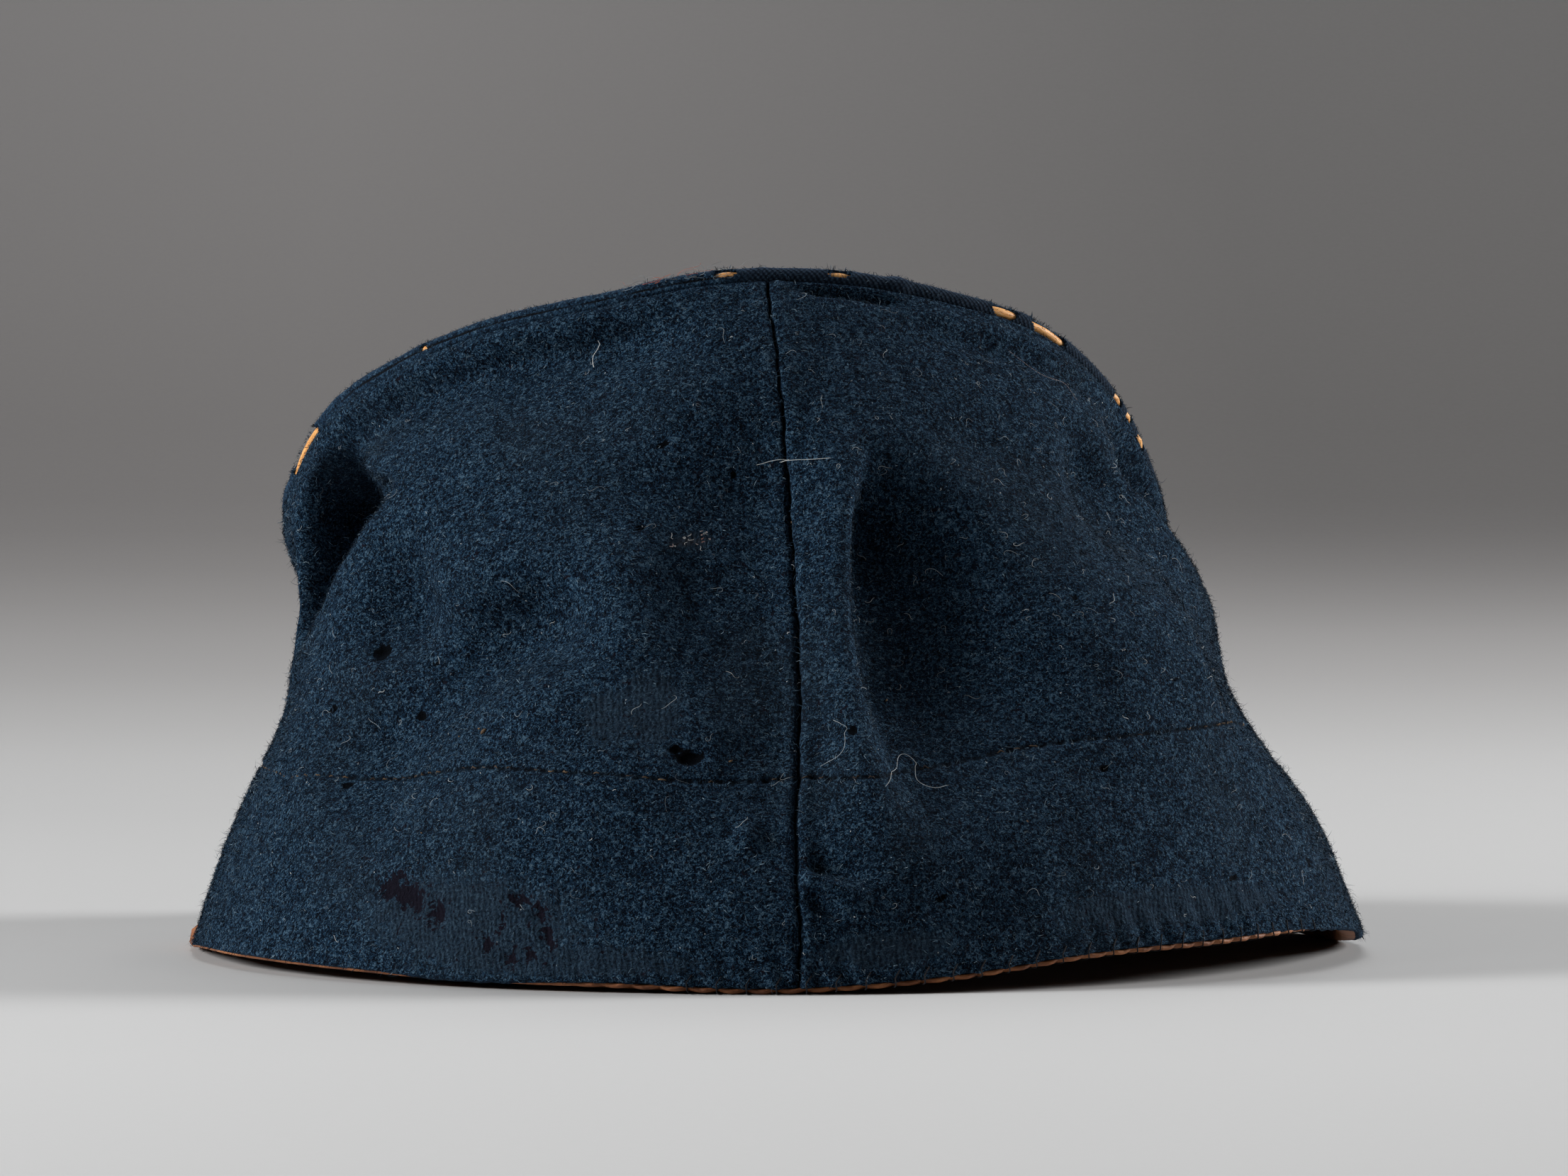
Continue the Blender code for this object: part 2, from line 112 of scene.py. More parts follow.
# A fold runs from one place on the side to another. Its width at both ends, its depth and the lengths over
# which it fades in and out are in mm. flare is how soon it widens, and steep narrows one flank and widens the
# other. A higher edge gives a flatter floor, and turn is the way it is pushed in, in degrees.
Fold = namedtuple(
    "Fold",
    "name angle share to_angle to_share start_wide end_wide depth fade_in fade_out flare steep edge turn",
    defaults=(0.1, 0.0, 2.0, 0),
)
FOLDS = (
    Fold("side_pocket", -41.0, 0.785, -75, 0.74, 0.5, 12.6, 24.0, 3.0, 14.0, 0.6, 0.1, 4.0, 42),
    Fold("side_pinch", -72, 0.74, -140, 0.66, 9.0, 11.0, 8.0, 15.0, 30.0, edge=1.6),
    Fold("back_pleat", 16, 0.79, 15.5, 0.16, 4.5, 12.0, 12.5, 26.0, 28.0, 0.2, -0.50, 2.1, 18),
    Fold("pleat_ridge", 10.5, 0.84, 9.5, 0.14, 6.0, 7.0, -3.0, 25.0, 25.0),
    Fold("seam_valley", 5.5, 0.88, 4.5, 0.08, 14.0, 14.0, 8.0, 30.0, 30.0, steep=0.45),
    Fold("left_ridge", -10.5, 0.72, -14, 0.38, 6.0, 7.0, -3.0, 16.0, 16.0),
    Fold("left_hollow", -21, 0.63, -23, 0.38, 8.5, 10.5, 8.5, 14.0, 14.0),
    Fold("long_crease", -22, 0.54, -52, 0.25, 10.0, 15.0, 9.0, 16.0, 18.0),
    Fold("left_crease", -40, 0.74, -41, 0.44, 6.5, 7.5, 8.0, 18.0, 14.0),
    Fold("welt_dip", -66, 0.925, 0, 0.93, 6.0, 6.0, 4.5, 12.0, 15.0),
    Fold("right_dent", 50, 0.87, 114, 0.88, 4.0, 5.5, 6.5, 16.0, 20.0),
    Fold("right_crease", 47, 0.86, 45, 0.56, 7.0, 9.0, 6.0, 12.0, 14.0, steep=-0.3),
    Fold("right_swell", 24, 0.48, 60, 0.50, 18.0, 18.0, -6.0, 18.0, 18.0),
)

# ---------------------------------------------------------------- the fine shape of the cloth

# Small folds that the CAD leaves out. The welt holds the cloth only FINE_HOLDS mm from it here.
FINE_HOLDS = 1.0
FINE_FOLDS = (
    Fold("edge_roll", 21, 0.976, 62, 0.972, 1.6, 1.8, -0.7, 10.0, 14.0),
    Fold("roll_crease", 22, 0.942, 62, 0.936, 1.5, 1.6, 0.8, 16.0, 18.0),
    Fold("welt_gap", 7.5, 0.992, 23.5, 0.984, 0.7, 0.9, 2.0, 7.0, 4.0),
    Fold("left_edge", -61, 0.985, -3, 0.985, 1.3, 1.3, -0.45, 8.0, 12.0),
    Fold("flap_ridge", 2.8, 0.150, 10, 0.108, 1.2, 1.8, -1.4, 2.0, 7.0),
    Fold("flap_hollow", 3.2, 0.174, 11, 0.135, 1.2, 2.8, 1.5, 3.0, 12.0),
    Fold("flap_tuck", 3.0, 0.132, 7, 0.080, 1.0, 1.2, 0.8, 2.0, 5.0),
    Fold("seam_lump", -3.2, 0.208, 0.2, 0.202, 2.2, 1.8, -1.3, 2.5, 2.5),
    Fold("hollow_edge", -12, 0.46, -34, 0.36, 4.0, 5.0, -1.6, 14.0, 16.0),
    Fold("crown_slack", -34, 0.88, -6, 0.80, 6.0, 5.0, 0.9, 14.0, 14.0),
    Fold("right_notch", 50, 0.830, 82, 0.800, 2.0, 3.0, 1.5, 9.0, 9.0, edge=2.2),
    Fold("welt_drawn", 58, 0.985, 75, 0.985, 1.2, 1.2, 1.3, 4.0, 4.0),
    Fold("right_slack", 20, 0.80, 44, 0.72, 5.0, 6.0, 1.0, 12.0, 16.0),
)

# The seam down the back, as shares and their angles, and the row of stitches that holds the sweatband, as
# angles and their shares.
SEAM = (
    (0.00, 2.0), (0.09, 2.5), (0.16, 2.6), (0.22, 3.0), (0.28, 3.6), (0.38, 4.5), (0.58, 5.5), (0.79, 6.0),
    (1.00, 6.0),
)
STITCHES = (
    (-51.0, 0.310), (-42.5, 0.296), (-27.0, 0.310), (-17.0, 0.300), (-8.0, 0.285), (-0.5, 0.280),
    (4.5, 0.280), (12.0, 0.280), (19.5, 0.286), (27.0, 0.304), (37.5, 0.322), (64.5, 0.380),
)
STITCH_PITCH = 2.1
HEM_PITCH = 4.2

# Worn places are ellipses on the cloth: the angle, the share, and half the width and height in mm. The first
# are the moth holes.
HOLES = (
    (-7.5, 0.770, 0.7, 0.6), (0.0, 0.715, 0.4, 0.5), (-10.0, 0.655, 0.5, 0.5),
    (-44.0, 0.510, 1.1, 1.2), (-37.0, 0.480, 0.6, 0.5), (-51.0, 0.425, 0.7, 0.6),
    (-39.5, 0.395, 1.0, 0.7), (-47.0, 0.290, 0.7, 0.5), (-6.2, 0.314, 1.5, 1.1),
    (-7.4, 0.326, 0.8, 0.6),
    (9.0, 0.345, 0.6, 0.7), (13.5, 0.580, 0.7, 0.9), (33.5, 0.535, 0.5, 0.5),
    (33.0, 0.270, 0.6, 0.5), (43.5, 0.415, 0.4, 0.4), (15.0, 0.110, 0.6, 0.5),
    (65.0, 0.120, 0.5, 1.0), (48.0, 0.095, 0.9, 0.4), (-14.0, 0.345, 0.4, 0.4),
    (-121.0, 0.44, 0.8, 0.6), (132.0, 0.55, 0.7, 0.7), (168.0, 0.36, 0.6, 0.5),
)
# Places where the nap is gone and the bare web shows, and wider ones where it is thin.
BARE = (
    (-37.3, 0.128, 2.0, 1.8), (-35.1, 0.120, 2.4, 2.6), (-33.7, 0.108, 1.2, 2.0),
    (-31.5, 0.094, 1.2, 2.2), (-22.4, 0.116, 1.5, 1.1), (-20.8, 0.096, 0.7, 1.5),
    (-20.2, 0.062, 0.8, 2.2), (-24.6, 0.082, 0.7, 1.0), (-26.2, 0.052, 0.7, 1.6),
    (-24.0, 0.030, 0.8, 1.3), (-22.0, 0.042, 0.5, 1.8),
)
THIN = (
    (-28.0, 0.080, 19.0, 8.0), (-9.5, 0.385, 4.5, 7.0), (-20.0, 0.030, 22.0, 3.0),
    (10.0, 0.045, 10.0, 3.0), (40.0, 0.06, 24.0, 3.5), (-5.0, 0.625, 3.5, 1.6),
    (-13.5, 0.375, 3.5, 5.0),
)
RUBBED = ((-5.0, 0.625, 2.6, 0.8),)

# Where the cover of the welt is worn through: the angle round the crown, half its length and the turn
# round the tube (0 outwards, 90 up) in degrees, half its girth in degrees, and how far the cane springs
# out there, in mm.
Worn = namedtuple("Worn", "angle half turn girth bow")
WORN = [Worn(*row) for row in (
    (-68.6, 5.0, 15.0, 140.0, 0.50), (-39.8, 0.6, 40.0, 30.0, 0.45), (1.0, 1.5, 46.0, 34.0, 0.50),
    (15.2, 1.6, 50.0, 36.0, 0.50), (38.4, 2.2, 34.0, 66.0, 0.50), (45.8, 3.3, 30.0, 72.0, 0.50),
    (61.8, 1.05, 5.0, 90.0, 0.70), (65.2, 0.85, 5.0, 90.0, 0.78), (69.6, 1.35, 5.0, 95.0, 0.85),
    (128.0, 1.1, 50.0, 45.0, 0.45), (-151.0, 1.4, 60.0, 45.0, 0.45),
)]


def hermite(s, start, end, leave, arrive):
    """A smooth run from start to end as s goes from 0 to 1, with the slopes it leaves and arrives at."""
    return (
        start * (1 + 2 * s) * (1 - s) ** 2
        + leave * s * (1 - s) ** 2
        + end * s**2 * (3 - 2 * s)
        + arrive * s**2 * (s - 1)
    )


def smooth_line(at, x, y):
    """Values on a smooth curve that passes through y at the places x."""
    x, y = np.array(x, float), np.array(y, float)
    slope = np.gradient(y, x)
    at = np.clip(at, x[0], x[-1])
    i = np.clip(np.searchsorted(x, at, side="right") - 1, 0, len(x) - 2)
    width = x[i + 1] - x[i]
    return hermite((at - x[i]) / width, y[i], y[i + 1], slope[i] * width, slope[i + 1] * width)


def half_circle(angle):
    """The same angle, from -180 to 180."""
    return (angle + 180) % 360 - 180


def section_value(name, angle):
    """A value of the sections at any angle, on a smooth loop through them."""
    x = np.array([row.angle for row in SECTIONS])
    y = np.array([getattr(row, name) for row in SECTIONS])
    x = np.concatenate([x[-2:] - 360, x, x[:3] + 360])
    return smooth_line(half_circle(angle), x, np.concatenate([y[-2:], y, y[:3]]))


def ease(x):
    x = np.clip(x, 0, 1)
    return x * x * (3 - 2 * x)


def between(x, start, end, fade_in, fade_out):
    """1 between start and end and 0 outside, with smooth runs inside them of these lengths."""
    return ease((x - start) / fade_in) * ease((end - x) / fade_out)


def hump(x, wide):
    """1 at 0, falling off smoothly on both sides."""
    return np.exp(-((x / wide) ** 2))


def unit(v):
    return v / np.maximum(np.linalg.norm(v, axis=-1, keepdims=True), 1e-12)


def square_to(v, along):
    """The direction of v with its part along a unit vector taken away."""
    return unit(v - along * (v * along).sum(-1, keepdims=True))


def outward(angle):
    """The level way out from the cap."""
    turn = np.radians(angle)
    across = -np.sin(turn) / RIM_WIDTH
    along = np.cos(turn) / RIM_LENGTH
    return unit(np.stack([across, along, np.zeros_like(across)], axis=-1))


def rim_height(angle):
    return np.maximum(section_value("rim_up", angle), 0)


def rim_point(angle):
    turn = np.radians(angle)
    x = -0.5 * RIM_WIDTH * np.sin(turn)
    y = RIM_BEHIND + 0.5 * RIM_LENGTH * np.cos(turn)
    return np.stack([x, y, rim_height(angle)], axis=-1)


def crown_point(angle):
    turn = np.radians(angle)
    x = CROWN_MIDDLE[0] - 0.5 * CROWN_WIDTH * np.sin(turn)
    y = CROWN_MIDDLE[1] + 0.5 * CROWN_LENGTH * np.cos(turn)
    return np.stack([x, y, section_value("crown_up", angle)], axis=-1)


def along_crown(angle):
    """The way that the crown's edge runs."""
    return unit(crown_point(angle + TURN_STEP) - crown_point(angle - TURN_STEP))


def side_height(angle):
    """The length of the straight line from the rim to the crown's edge."""
    return np.linalg.norm(crown_point(angle) - rim_point(angle), axis=-1)


def bulge(angle, share):
    """How far the side stands out from the straight line between the rim and the crown."""
    quarters = [section_value(name, angle) for name in ("low", "middle", "high")]
    values = np.stack([np.zeros_like(angle), *quarters, np.zeros_like(angle)])
    slopes = np.gradient(values, axis=0)
    quarter = np.clip(np.floor(share * 4), 0, 3).astype(int)
    s = share * 4 - quarter
    here = quarter[None]
    start, end = (np.take_along_axis(values, i, axis=0)[0] for i in (here, here + 1))
    leave, arrive = (np.take_along_axis(slopes, i, axis=0)[0] for i in (here, here + 1))
    return hermite(s, start, end, leave, arrive)


def seat_directions(angle):
    """Where the side meets the crown: the way down it and the way out through its cloth."""
    along = along_crown(angle)
    below = square_to(rim_point(angle) - crown_point(angle), along)
    return below, square_to(square_to(outward(angle), along), below)


def smooth_side(angle, share):
    """The outer face of the side without its folds."""
    rim = rim_point(angle)
    crown = crown_point(angle)
    below, through = seat_directions(angle)
    hem = rim + unit(crown - rim) * BAND_SHOWS
    top = crown + below * (WELT_RADIUS + GAP) + through * CLOTH / 2
    at = share[..., None]
    return hem * (1 - at) + top * at + outward(angle) * bulge(angle, share)[..., None]


def girth_per_degree(share):
    """The length round the cap for each degree."""
    return np.radians(1) * (RIM_RADIUS * (1 - share) + CROWN_RADIUS * share)


def fold_depth(fold, angle, share):
    """How deep one valley is at a place, from 0 to 1."""
    girth = girth_per_degree(share)
    height = side_height(angle)
    run = np.stack([(fold.to_angle - fold.angle) * girth, (fold.to_share - fold.share) * height], -1)
    away = np.stack([(angle - fold.angle) * girth, (share - fold.share) * height], -1)
    length = np.linalg.norm(run, axis=-1)
    run = run / length[..., None]
    along = (away * run).sum(-1)
    aside = away[..., 1] * run[..., 0] - away[..., 0] * run[..., 1]
    spread = fold.end_wide - fold.start_wide
    wide = fold.start_wide + spread * np.clip(fold.flare * along / max(abs(spread), 1), 0, 1)
    wide = np.where(aside > 0, wide * (1 - fold.steep), wide * (1 + fold.steep))
    across = np.exp(-(np.abs(aside / wide) ** fold.edge))
    return across * between(along, 0, length, fold.fade_in, fold.fade_out)


def side_point(angle, share):
    """The outer face of the side, folds and all, as the CAD has it."""
    place = smooth_side(angle, share)
    held = ease((1 - share) * side_height(angle) / WELT_HOLDS)
    for fold in FOLDS:
        deep = (fold_depth(fold, angle, share) * held)[..., None]
        place = place - outward(angle + fold.turn) * fold.depth * deep
    return place


def stops(divisions):
    runs = [np.linspace(start, end, steps, endpoint=False) for start, end, steps in divisions]
    return np.concatenate(runs)


def grid_normals(points, closed):
    if closed:
        round_ = np.roll(points, -1, axis=1) - np.roll(points, 1, axis=1)
    else:
        round_ = np.gradient(points, axis=1)
    return unit(np.cross(round_, np.gradient(points, axis=0)))


# ---------------------------------------------------------------- tools

RNG = np.random.default_rng(41)


def hashed(x, y, z):
    """A repeatable number from -1 to 1 for each cell of a lattice."""
    mixed = (x * 73856093) ^ (y * 19349663) ^ (z * 83492791)
    mixed = (mixed ^ (mixed >> 13)) * 1274126177
    mixed = (mixed ^ (mixed >> 16)) & 0xFFFFF
    return mixed / 0x7FFFF - 1


def noise(points, size, seed):
    """Smooth noise from -1 to 1 in space, with lumps about size mm across."""
    q = points / size + seed * 17.31
    cell = np.floor(q).astype(np.int64)
    fx, fy, fz = np.moveaxis(ease(q - cell), -1, 0)
    total = 0
    for dx, dy, dz in itertools.product((0, 1), repeat=3):
        part = (fx if dx else 1 - fx) * (fy if dy else 1 - fy) * (fz if dz else 1 - fz)
        total = total + part * hashed(*np.moveaxis(cell + (dx, dy, dz), -1, 0))
    return total


def grid_quads(rows, columns, closed_rows=False, closed_columns=True):
    """Quads of a grid numbered row by row, as an array of four corners each."""
    row = np.arange(rows if closed_rows else rows - 1)
    column = np.arange(columns if closed_columns else columns - 1)
    r, c = np.meshgrid(row * columns, column, indexing="ij")
    r2, c2 = (r + columns) % (rows * columns), (c + 1) % columns
    return np.stack([r + c, r + c2, r2 + c2, r2 + c], -1).reshape(-1, 4)


def grid_uvs(u, v):
    """The corners' places for each quad of a grid that is closed both ways. u and v have one value more
    than the grid has columns and rows."""
    rows, columns = len(v) - 1, len(u) - 1
    r, c = np.divmod(np.arange(rows * columns), columns)
    return np.stack([u[np.stack([c, c + 1, c + 1, c], -1)], v[np.stack([r, r, r + 1, r + 1], -1)]], -1)


def placed(name, data):
    """A new object in the scene."""
    made = bpy.data.objects.new(name, data)
    bpy.context.scene.collection.objects.link(made)
    return made


def add_mesh(name, points, faces, material, node=None, values=None, uvs=None):
    """A piece from points in mm and lists of faces, each an array of corners. It rides on the cap."""
    points = np.reshape(points, (-1, 3)) * 1.0
    points[:, 2] = np.maximum(points[:, 2], 0)  # nothing goes into the table
    faces = [np.asarray(group) for group in faces if len(group)]
    mesh = bpy.data.meshes.new(name)
    mesh.vertices.add(len(points))
    mesh.vertices.foreach_set("co", (points * MM).astype(np.float32).ravel())
    corners = np.concatenate([group.ravel() for group in faces]).astype(np.int32)
    sizes = np.concatenate([np.full(len(group), group.shape[1]) for group in faces])
    mesh.loops.add(len(corners))
    mesh.loops.foreach_set("vertex_index", corners)
    mesh.polygons.add(len(sizes))
    mesh.polygons.foreach_set("loop_start", (np.cumsum(sizes) - sizes).astype(np.int32))
    if uvs is not None:
        layer = mesh.uv_layers.new(name="place")
        layer.uv.foreach_set("vector", uvs.astype(np.float32).ravel())
    for key, value in (values or {}).items():
        attribute = mesh.attributes.new(key, "FLOAT", "POINT")
        attribute.data.foreach_set("value", np.ravel(value).astype(np.float32))
    mesh.update(calc_edges=True)
    mesh.validate()
    mesh.shade_smooth()
    mesh.materials.append(material)
    made = placed(name, mesh)
    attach(made, "root")
    if node:
        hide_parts(node)


class Sheet:
    """A grid of points, rows going up and columns going round, that small things can be put on."""

    def __init__(self, points):
        self.points = points
        self.normals = grid_normals(points, closed=True)
        self.round = unit(np.roll(points, -1, axis=1) - np.roll(points, 1, axis=1))

    def at(self, row, column):
        """The point, normal and direction round the cap at fractional rows and columns."""
        rows, columns = self.points.shape[:2]
        r = np.clip(np.floor(row).astype(int), 0, rows - 2)
        c = np.floor(column).astype(int)
        fr = np.clip(row - r, 0, 1)[..., None]
        fc = (column - c)[..., None]
        c0, c1 = c % columns, (c + 1) % columns
        found = []
        for grid in (self.points, self.normals, self.round):
            low = grid[r, c0] * (1 - fc) + grid[r, c1] * fc
            high = grid[r + 1, c0] * (1 - fc) + grid[r + 1, c1] * fc
            found.append(low * (1 - fr) + high * fr)
        return found[0], unit(found[1]), unit(found[2])

    def scatter(self, count, density):
        """Fractional rows and columns of random places, as dense as the grid of densities says."""
        p = np.concatenate([self.points, self.points[:, :1]], axis=1)
        density = np.concatenate([density, density[:, :1]], axis=1)
        across = np.cross(p[1:, 1:] - p[:-1, :-1], p[1:, :-1] - p[:-1, 1:])
        weight = np.linalg.norm(across, axis=-1) * density[:-1, :-1]
        chance = np.cumsum(weight.ravel())
        picked = np.searchsorted(chance, RNG.random(count) * chance[-1])
        picked = np.minimum(picked, len(chance) - 1)
        row, column = np.divmod(picked, weight.shape[1])
        return row + RNG.random(count), column + RNG.random(count)


def flat_on(paths, normal):
    """Which way a strip along each path is wide, so that it lies flat."""
    return unit(np.cross(unit(np.gradient(paths, axis=-2)), normal))


def hair_mesh(name, paths, sides, widths, material, tone):
    """Many hairs joined in one mesh, as thin strips. Each follows a path and ends in a point."""
    count, steps = paths.shape[:2]
    half = (sides * widths[..., None] / 2)[:, :-1]
    body = np.stack([paths[:, :-1] - half, paths[:, :-1] + half], axis=2).reshape(count, -1, 3)
    points = np.concatenate([body, paths[:, -1:]], axis=1)
    each = 2 * steps - 1
    start = (np.arange(count) * each)[:, None]
    quads = [start + np.array([2 * k, 2 * k + 1, 2 * k + 3, 2 * k + 2]) for k in range(steps - 2)]
    last = 2 * (steps - 2)
    tips = start + np.array([last, last + 1, last + 2])
    faces = ([np.concatenate(quads)] if quads else []) + [tips]
    add_mesh(name, points, faces, material, values={"tone": np.repeat(tone, each)})


def thread_mesh(name, paths, ups, radii, tone):
    """Many short pieces of thread joined in one mesh. radii is one for each point of a path."""
    sides = 6
    count, steps = paths.shape[:2]
    along = unit(np.gradient(paths, axis=1))
    side = unit(np.cross(along, ups))
    up = np.cross(side, along)
    turn = 2 * math.pi * np.arange(sides) / sides
    rings = paths[:, :, None] + radii[..., None, None] * (
        np.cos(turn)[:, None] * side[:, :, None] + np.sin(turn)[:, None] * up[:, :, None]
    )
    each = steps * sides
    quads = grid_quads(steps, sides)
    start = (np.arange(count) * each)[:, None, None]
    faces = (start + quads[None]).reshape(-1, 4)
    ring = np.arange(sides)
    caps = np.stack([ring[::-1], (steps - 1) * sides + ring])
    caps = (start + caps[None]).reshape(-1, sides)
    add_mesh(name, rings, [faces, caps], THREAD, values={"tone": np.repeat(tone, each)})


# ---------------------------------------------------------------- materials


class Signal:
    """A value that a node gives. Sums and products of signals become math nodes."""

    def __init__(self, tree, socket):
        self.tree = tree
        self.socket = socket

    def __add__(self, other):
        return self.tree.math("ADD", self, other)

    def __sub__(self, other):
        return self.tree.math("SUBTRACT", self, other)

    def __rsub__(self, other):
        return self.tree.math("SUBTRACT", other, self)

    def __mul__(self, other):
        return self.tree.math("MULTIPLY", self, other)

    def __abs__(self):
        return self.tree.math("ABSOLUTE", self)

    def sine(self):
        return self.tree.math("SINE", self)

    def clamped(self):
        self.socket.node.use_clamp = True
        return self


class Tree:
    """Short ways to put together a material's nodes."""

    def __init__(self, name):
        self.material = bpy.data.materials.new(name)
        self.material.use_nodes = True
        self.nodes = self.material.node_tree.nodes
        self.shader = self.nodes["Principled BSDF"]
        place = self.nodes.new("ShaderNodeTexCoord")
        self.uv = Signal(self, place.outputs["UV"])
        self.mm = self.scaled(Signal(self, place.outputs["Object"]), (1 / MM, 1 / MM, 1 / MM))

    def add(self, kind, output, inputs, **settings):
        """A new node's output, named or numbered."""
        made = self.nodes.new(kind)
        for key, value in settings.items():
            setattr(made, key, value)
        for key, value in inputs.items():
            self.put(made.inputs[key], value)
        return Signal(self, made.outputs[output])

    def put(self, socket, value):
        if isinstance(value, Signal):
            self.material.node_tree.links.new(value.socket, socket)
        else:
            socket.default_value = (*value, 1) if socket.type == "RGBA" else value

    def math(self, operation, a, b=0.0):
        return self.add("ShaderNodeMath", 0, {0: a, 1: b}, operation=operation)

    def mix(self, factor, a, b, blend="MIX"):
        inputs = {"Factor": factor, 6: a, 7: b}
        return self.add("ShaderNodeMix", 2, inputs, data_type="RGBA", blend_type=blend)

    def scaled(self, vector, scales):
        return self.add("ShaderNodeVectorMath", 0, {0: vector, 1: scales}, operation="MULTIPLY")

    def split(self, vector):
        first = self.add("ShaderNodeSeparateXYZ", 0, {0: vector})
        return [Signal(self, socket) for socket in first.socket.node.outputs]

    def noise(self, scale, detail=2.0, distortion=0.0, roughness=0.5, vector=None):
        inputs = {"Scale": scale, "Detail": detail, "Distortion": distortion, "Roughness": roughness}
        return self.add("ShaderNodeTexNoise", "Fac", {"Vector": vector or self.mm, **inputs})

    def ramp(self, factor, stops_):
        """Colours, each at its place from 0 to 1, with even runs between."""
        colour = self.add("ShaderNodeValToRGB", "Color", {"Fac": factor})
        elements = colour.socket.node.color_ramp.elements
        while len(elements) < len(stops_):
            elements.new(0.5)
        for element, (position, shade) in zip(elements, stops_):
            element.position = position
            element.color = (*shade, 1)
        return colour

    def band(self, value, low, high):
        """0 below low and 1 above high, with a smooth run between."""
        inputs = {"Value": value, "From Min": low, "From Max": high}
        return self.add("ShaderNodeMapRange", "Result", inputs, interpolation_type="SMOOTHSTEP")

    def value(self, name):
        """A value that the mesh holds for each point."""
        return self.add("ShaderNodeAttribute", "Fac", {}, attribute_name=name)

    def bump(self, height, strength, distance, **under):
        inputs = {"Height": height, "Strength": strength, "Distance": distance * MM, **under}
        return self.add("ShaderNodeBump", "Normal", inputs)

    def finish(self, colour, roughness, specular, normal=None, sheen=0.0):
        """Joins a surface's looks to its shader, and gives the material."""
        inputs = {"Base Color": colour, "Roughness": roughness, "Specular IOR Level": specular}
        if normal:
            inputs["Normal"] = normal
        if sheen:
            inputs |= {"Sheen Weight": sheen, "Sheen Roughness": 0.5, "Sheen Tint": (0.20, 0.40, 0.75)}
        for key, value in inputs.items():
            self.put(self.shader.inputs[key], value)
        return self.material


NAVY_DARK = (0.0004, 0.0016, 0.0044)
NAVY = (0.0038, 0.0138, 0.0305)
NAVY_LIT = (0.0138, 0.0408, 0.0770)
FLUFF = (0.0570, 0.1020, 0.1450)
BLACK = (0.0004, 0.0006, 0.0010)


def wool(name, marked):
    """Napped wool: matted short fibres, lighter where they catch the light, over a dark ground."""
    t = Tree(name)
    fine = t.noise(2.5, 3.0, 1.0, 0.70)
    clump = t.noise(0.55, 2.0, 0.8)
    shades = ((0.450, NAVY_DARK), (0.50, NAVY), (0.55, NAVY_LIT), (0.605, FLUFF))
    colour = t.ramp(fine * 0.84 + clump * 0.16, shades)
    dusty = t.mix(0.35, colour, (0.014, 0.020, 0.026))
    colour = t.mix(t.band(t.noise(0.035), 0.48, 0.70) * 0.8, colour, dusty)
    normal = t.bump(fine * 0.75 + clump * 0.9, 0.70, 0.42)
    if marked:
        ragged = t.noise(1.3, 3.0) - 0.5
        # Thin nap shows the ribs of the weave, which run up the cloth.
        thin = t.band(t.value("thin") + ragged * 1.2, 0.35, 0.75)
        u, v, _ = t.split(t.uv)
        wobble = t.noise(0.7, 3.0) * 14.0
        weave = (u * 8.2 + wobble).sine() * 0.30 + (v * 7.0 + wobble * 1.7).sine() * 0.16 + 0.5
        lit = t.mix(weave, (0.0022, 0.0050, 0.0100), (0.0230, 0.0400, 0.0600))
        colour = t.mix(thin * 0.65, colour, lit)
        normal = t.bump(weave * thin, 0.5, 0.25, Normal=normal)
        rubbed = t.band(t.value("rubbed") + ragged, 0.3, 0.9)
        colour = t.mix(rubbed * 0.25, colour, (0.055, 0.038, 0.028))
        # Where the nap is gone the brownish web shows.
        torn = t.noise(0.62, 3.0, 0.8, 0.65) - 0.5
        bare = t.band(t.value("bare") + torn * 2.4 + ragged * 1.6, 0.46, 0.56)
        web = t.mix(t.noise(3.0, 1.0), (0.0022, 0.0018, 0.0040), (0.0080, 0.0062, 0.0110))
        colour = t.mix(bare, colour, web)
        # The holes are painted black for the shade inside them; the seam and the row of stitches are dark.
        colour = t.mix(t.band(t.value("pit") + ragged * 0.7, 0.32, 0.46), colour, BLACK)
        groove = 1.0 - t.band(abs(t.value("seam") + ragged * 0.5), 0.06, 0.30)
        colour = t.mix(groove, colour, BLACK)
        sunk = 1.0 - t.band(abs(t.value("stitch") + ragged * 0.5), 0.15, 0.55)
        dark = (sunk * (t.band(t.value("dash"), 0.0, 0.55) * 0.75 + 0.10)).clamped()
        colour = t.mix(dark * t.value("sewn"), colour, BLACK)
    return t.finish(colour, 0.95, 0.05, normal, sheen=0.04)


def twill(name):
    """The strip round the welt: a fine diagonal weave with the nap rubbed off its ridge."""
    t = Tree(name)
    u, v, _ = t.split(t.uv)
    rib = (u * 8.2 + v * 7.0 + t.noise(0.8) * 1.6).sine()
    cross = (u * 9.5 - v * 9.0).sine()
    weave = rib * 0.3 + cross * 0.15 + 0.5
    fuzz = t.noise(2.4, 3.0, 1.0, 0.6)
    tone = weave * 0.5 + fuzz * 0.5
    shades = ((0.28, (0.001, 0.0024, 0.0052)), (0.52, (0.0042, 0.010, 0.020)), (0.78, (0.023, 0.040, 0.062)))
    dark = t.ramp(tone, shades)
    napped = t.ramp(fuzz, ((0.36, NAVY_DARK), (0.48, NAVY), (0.58, NAVY_LIT), (0.68, FLUFF)))
    # The nap is still whole on the wearer's left.
    colour = t.mix(t.band(u, 0.0, 5.0), napped, dark)
    # The groove where the side's edge meets the cover is painted black for the shade in it.
    colour = t.mix(t.band(t.value("line"), 0.30, 0.75), colour, BLACK)
    return t.finish(colour, 0.92, 0.10, t.bump(tone, 0.75, 0.22), sheen=0.10)


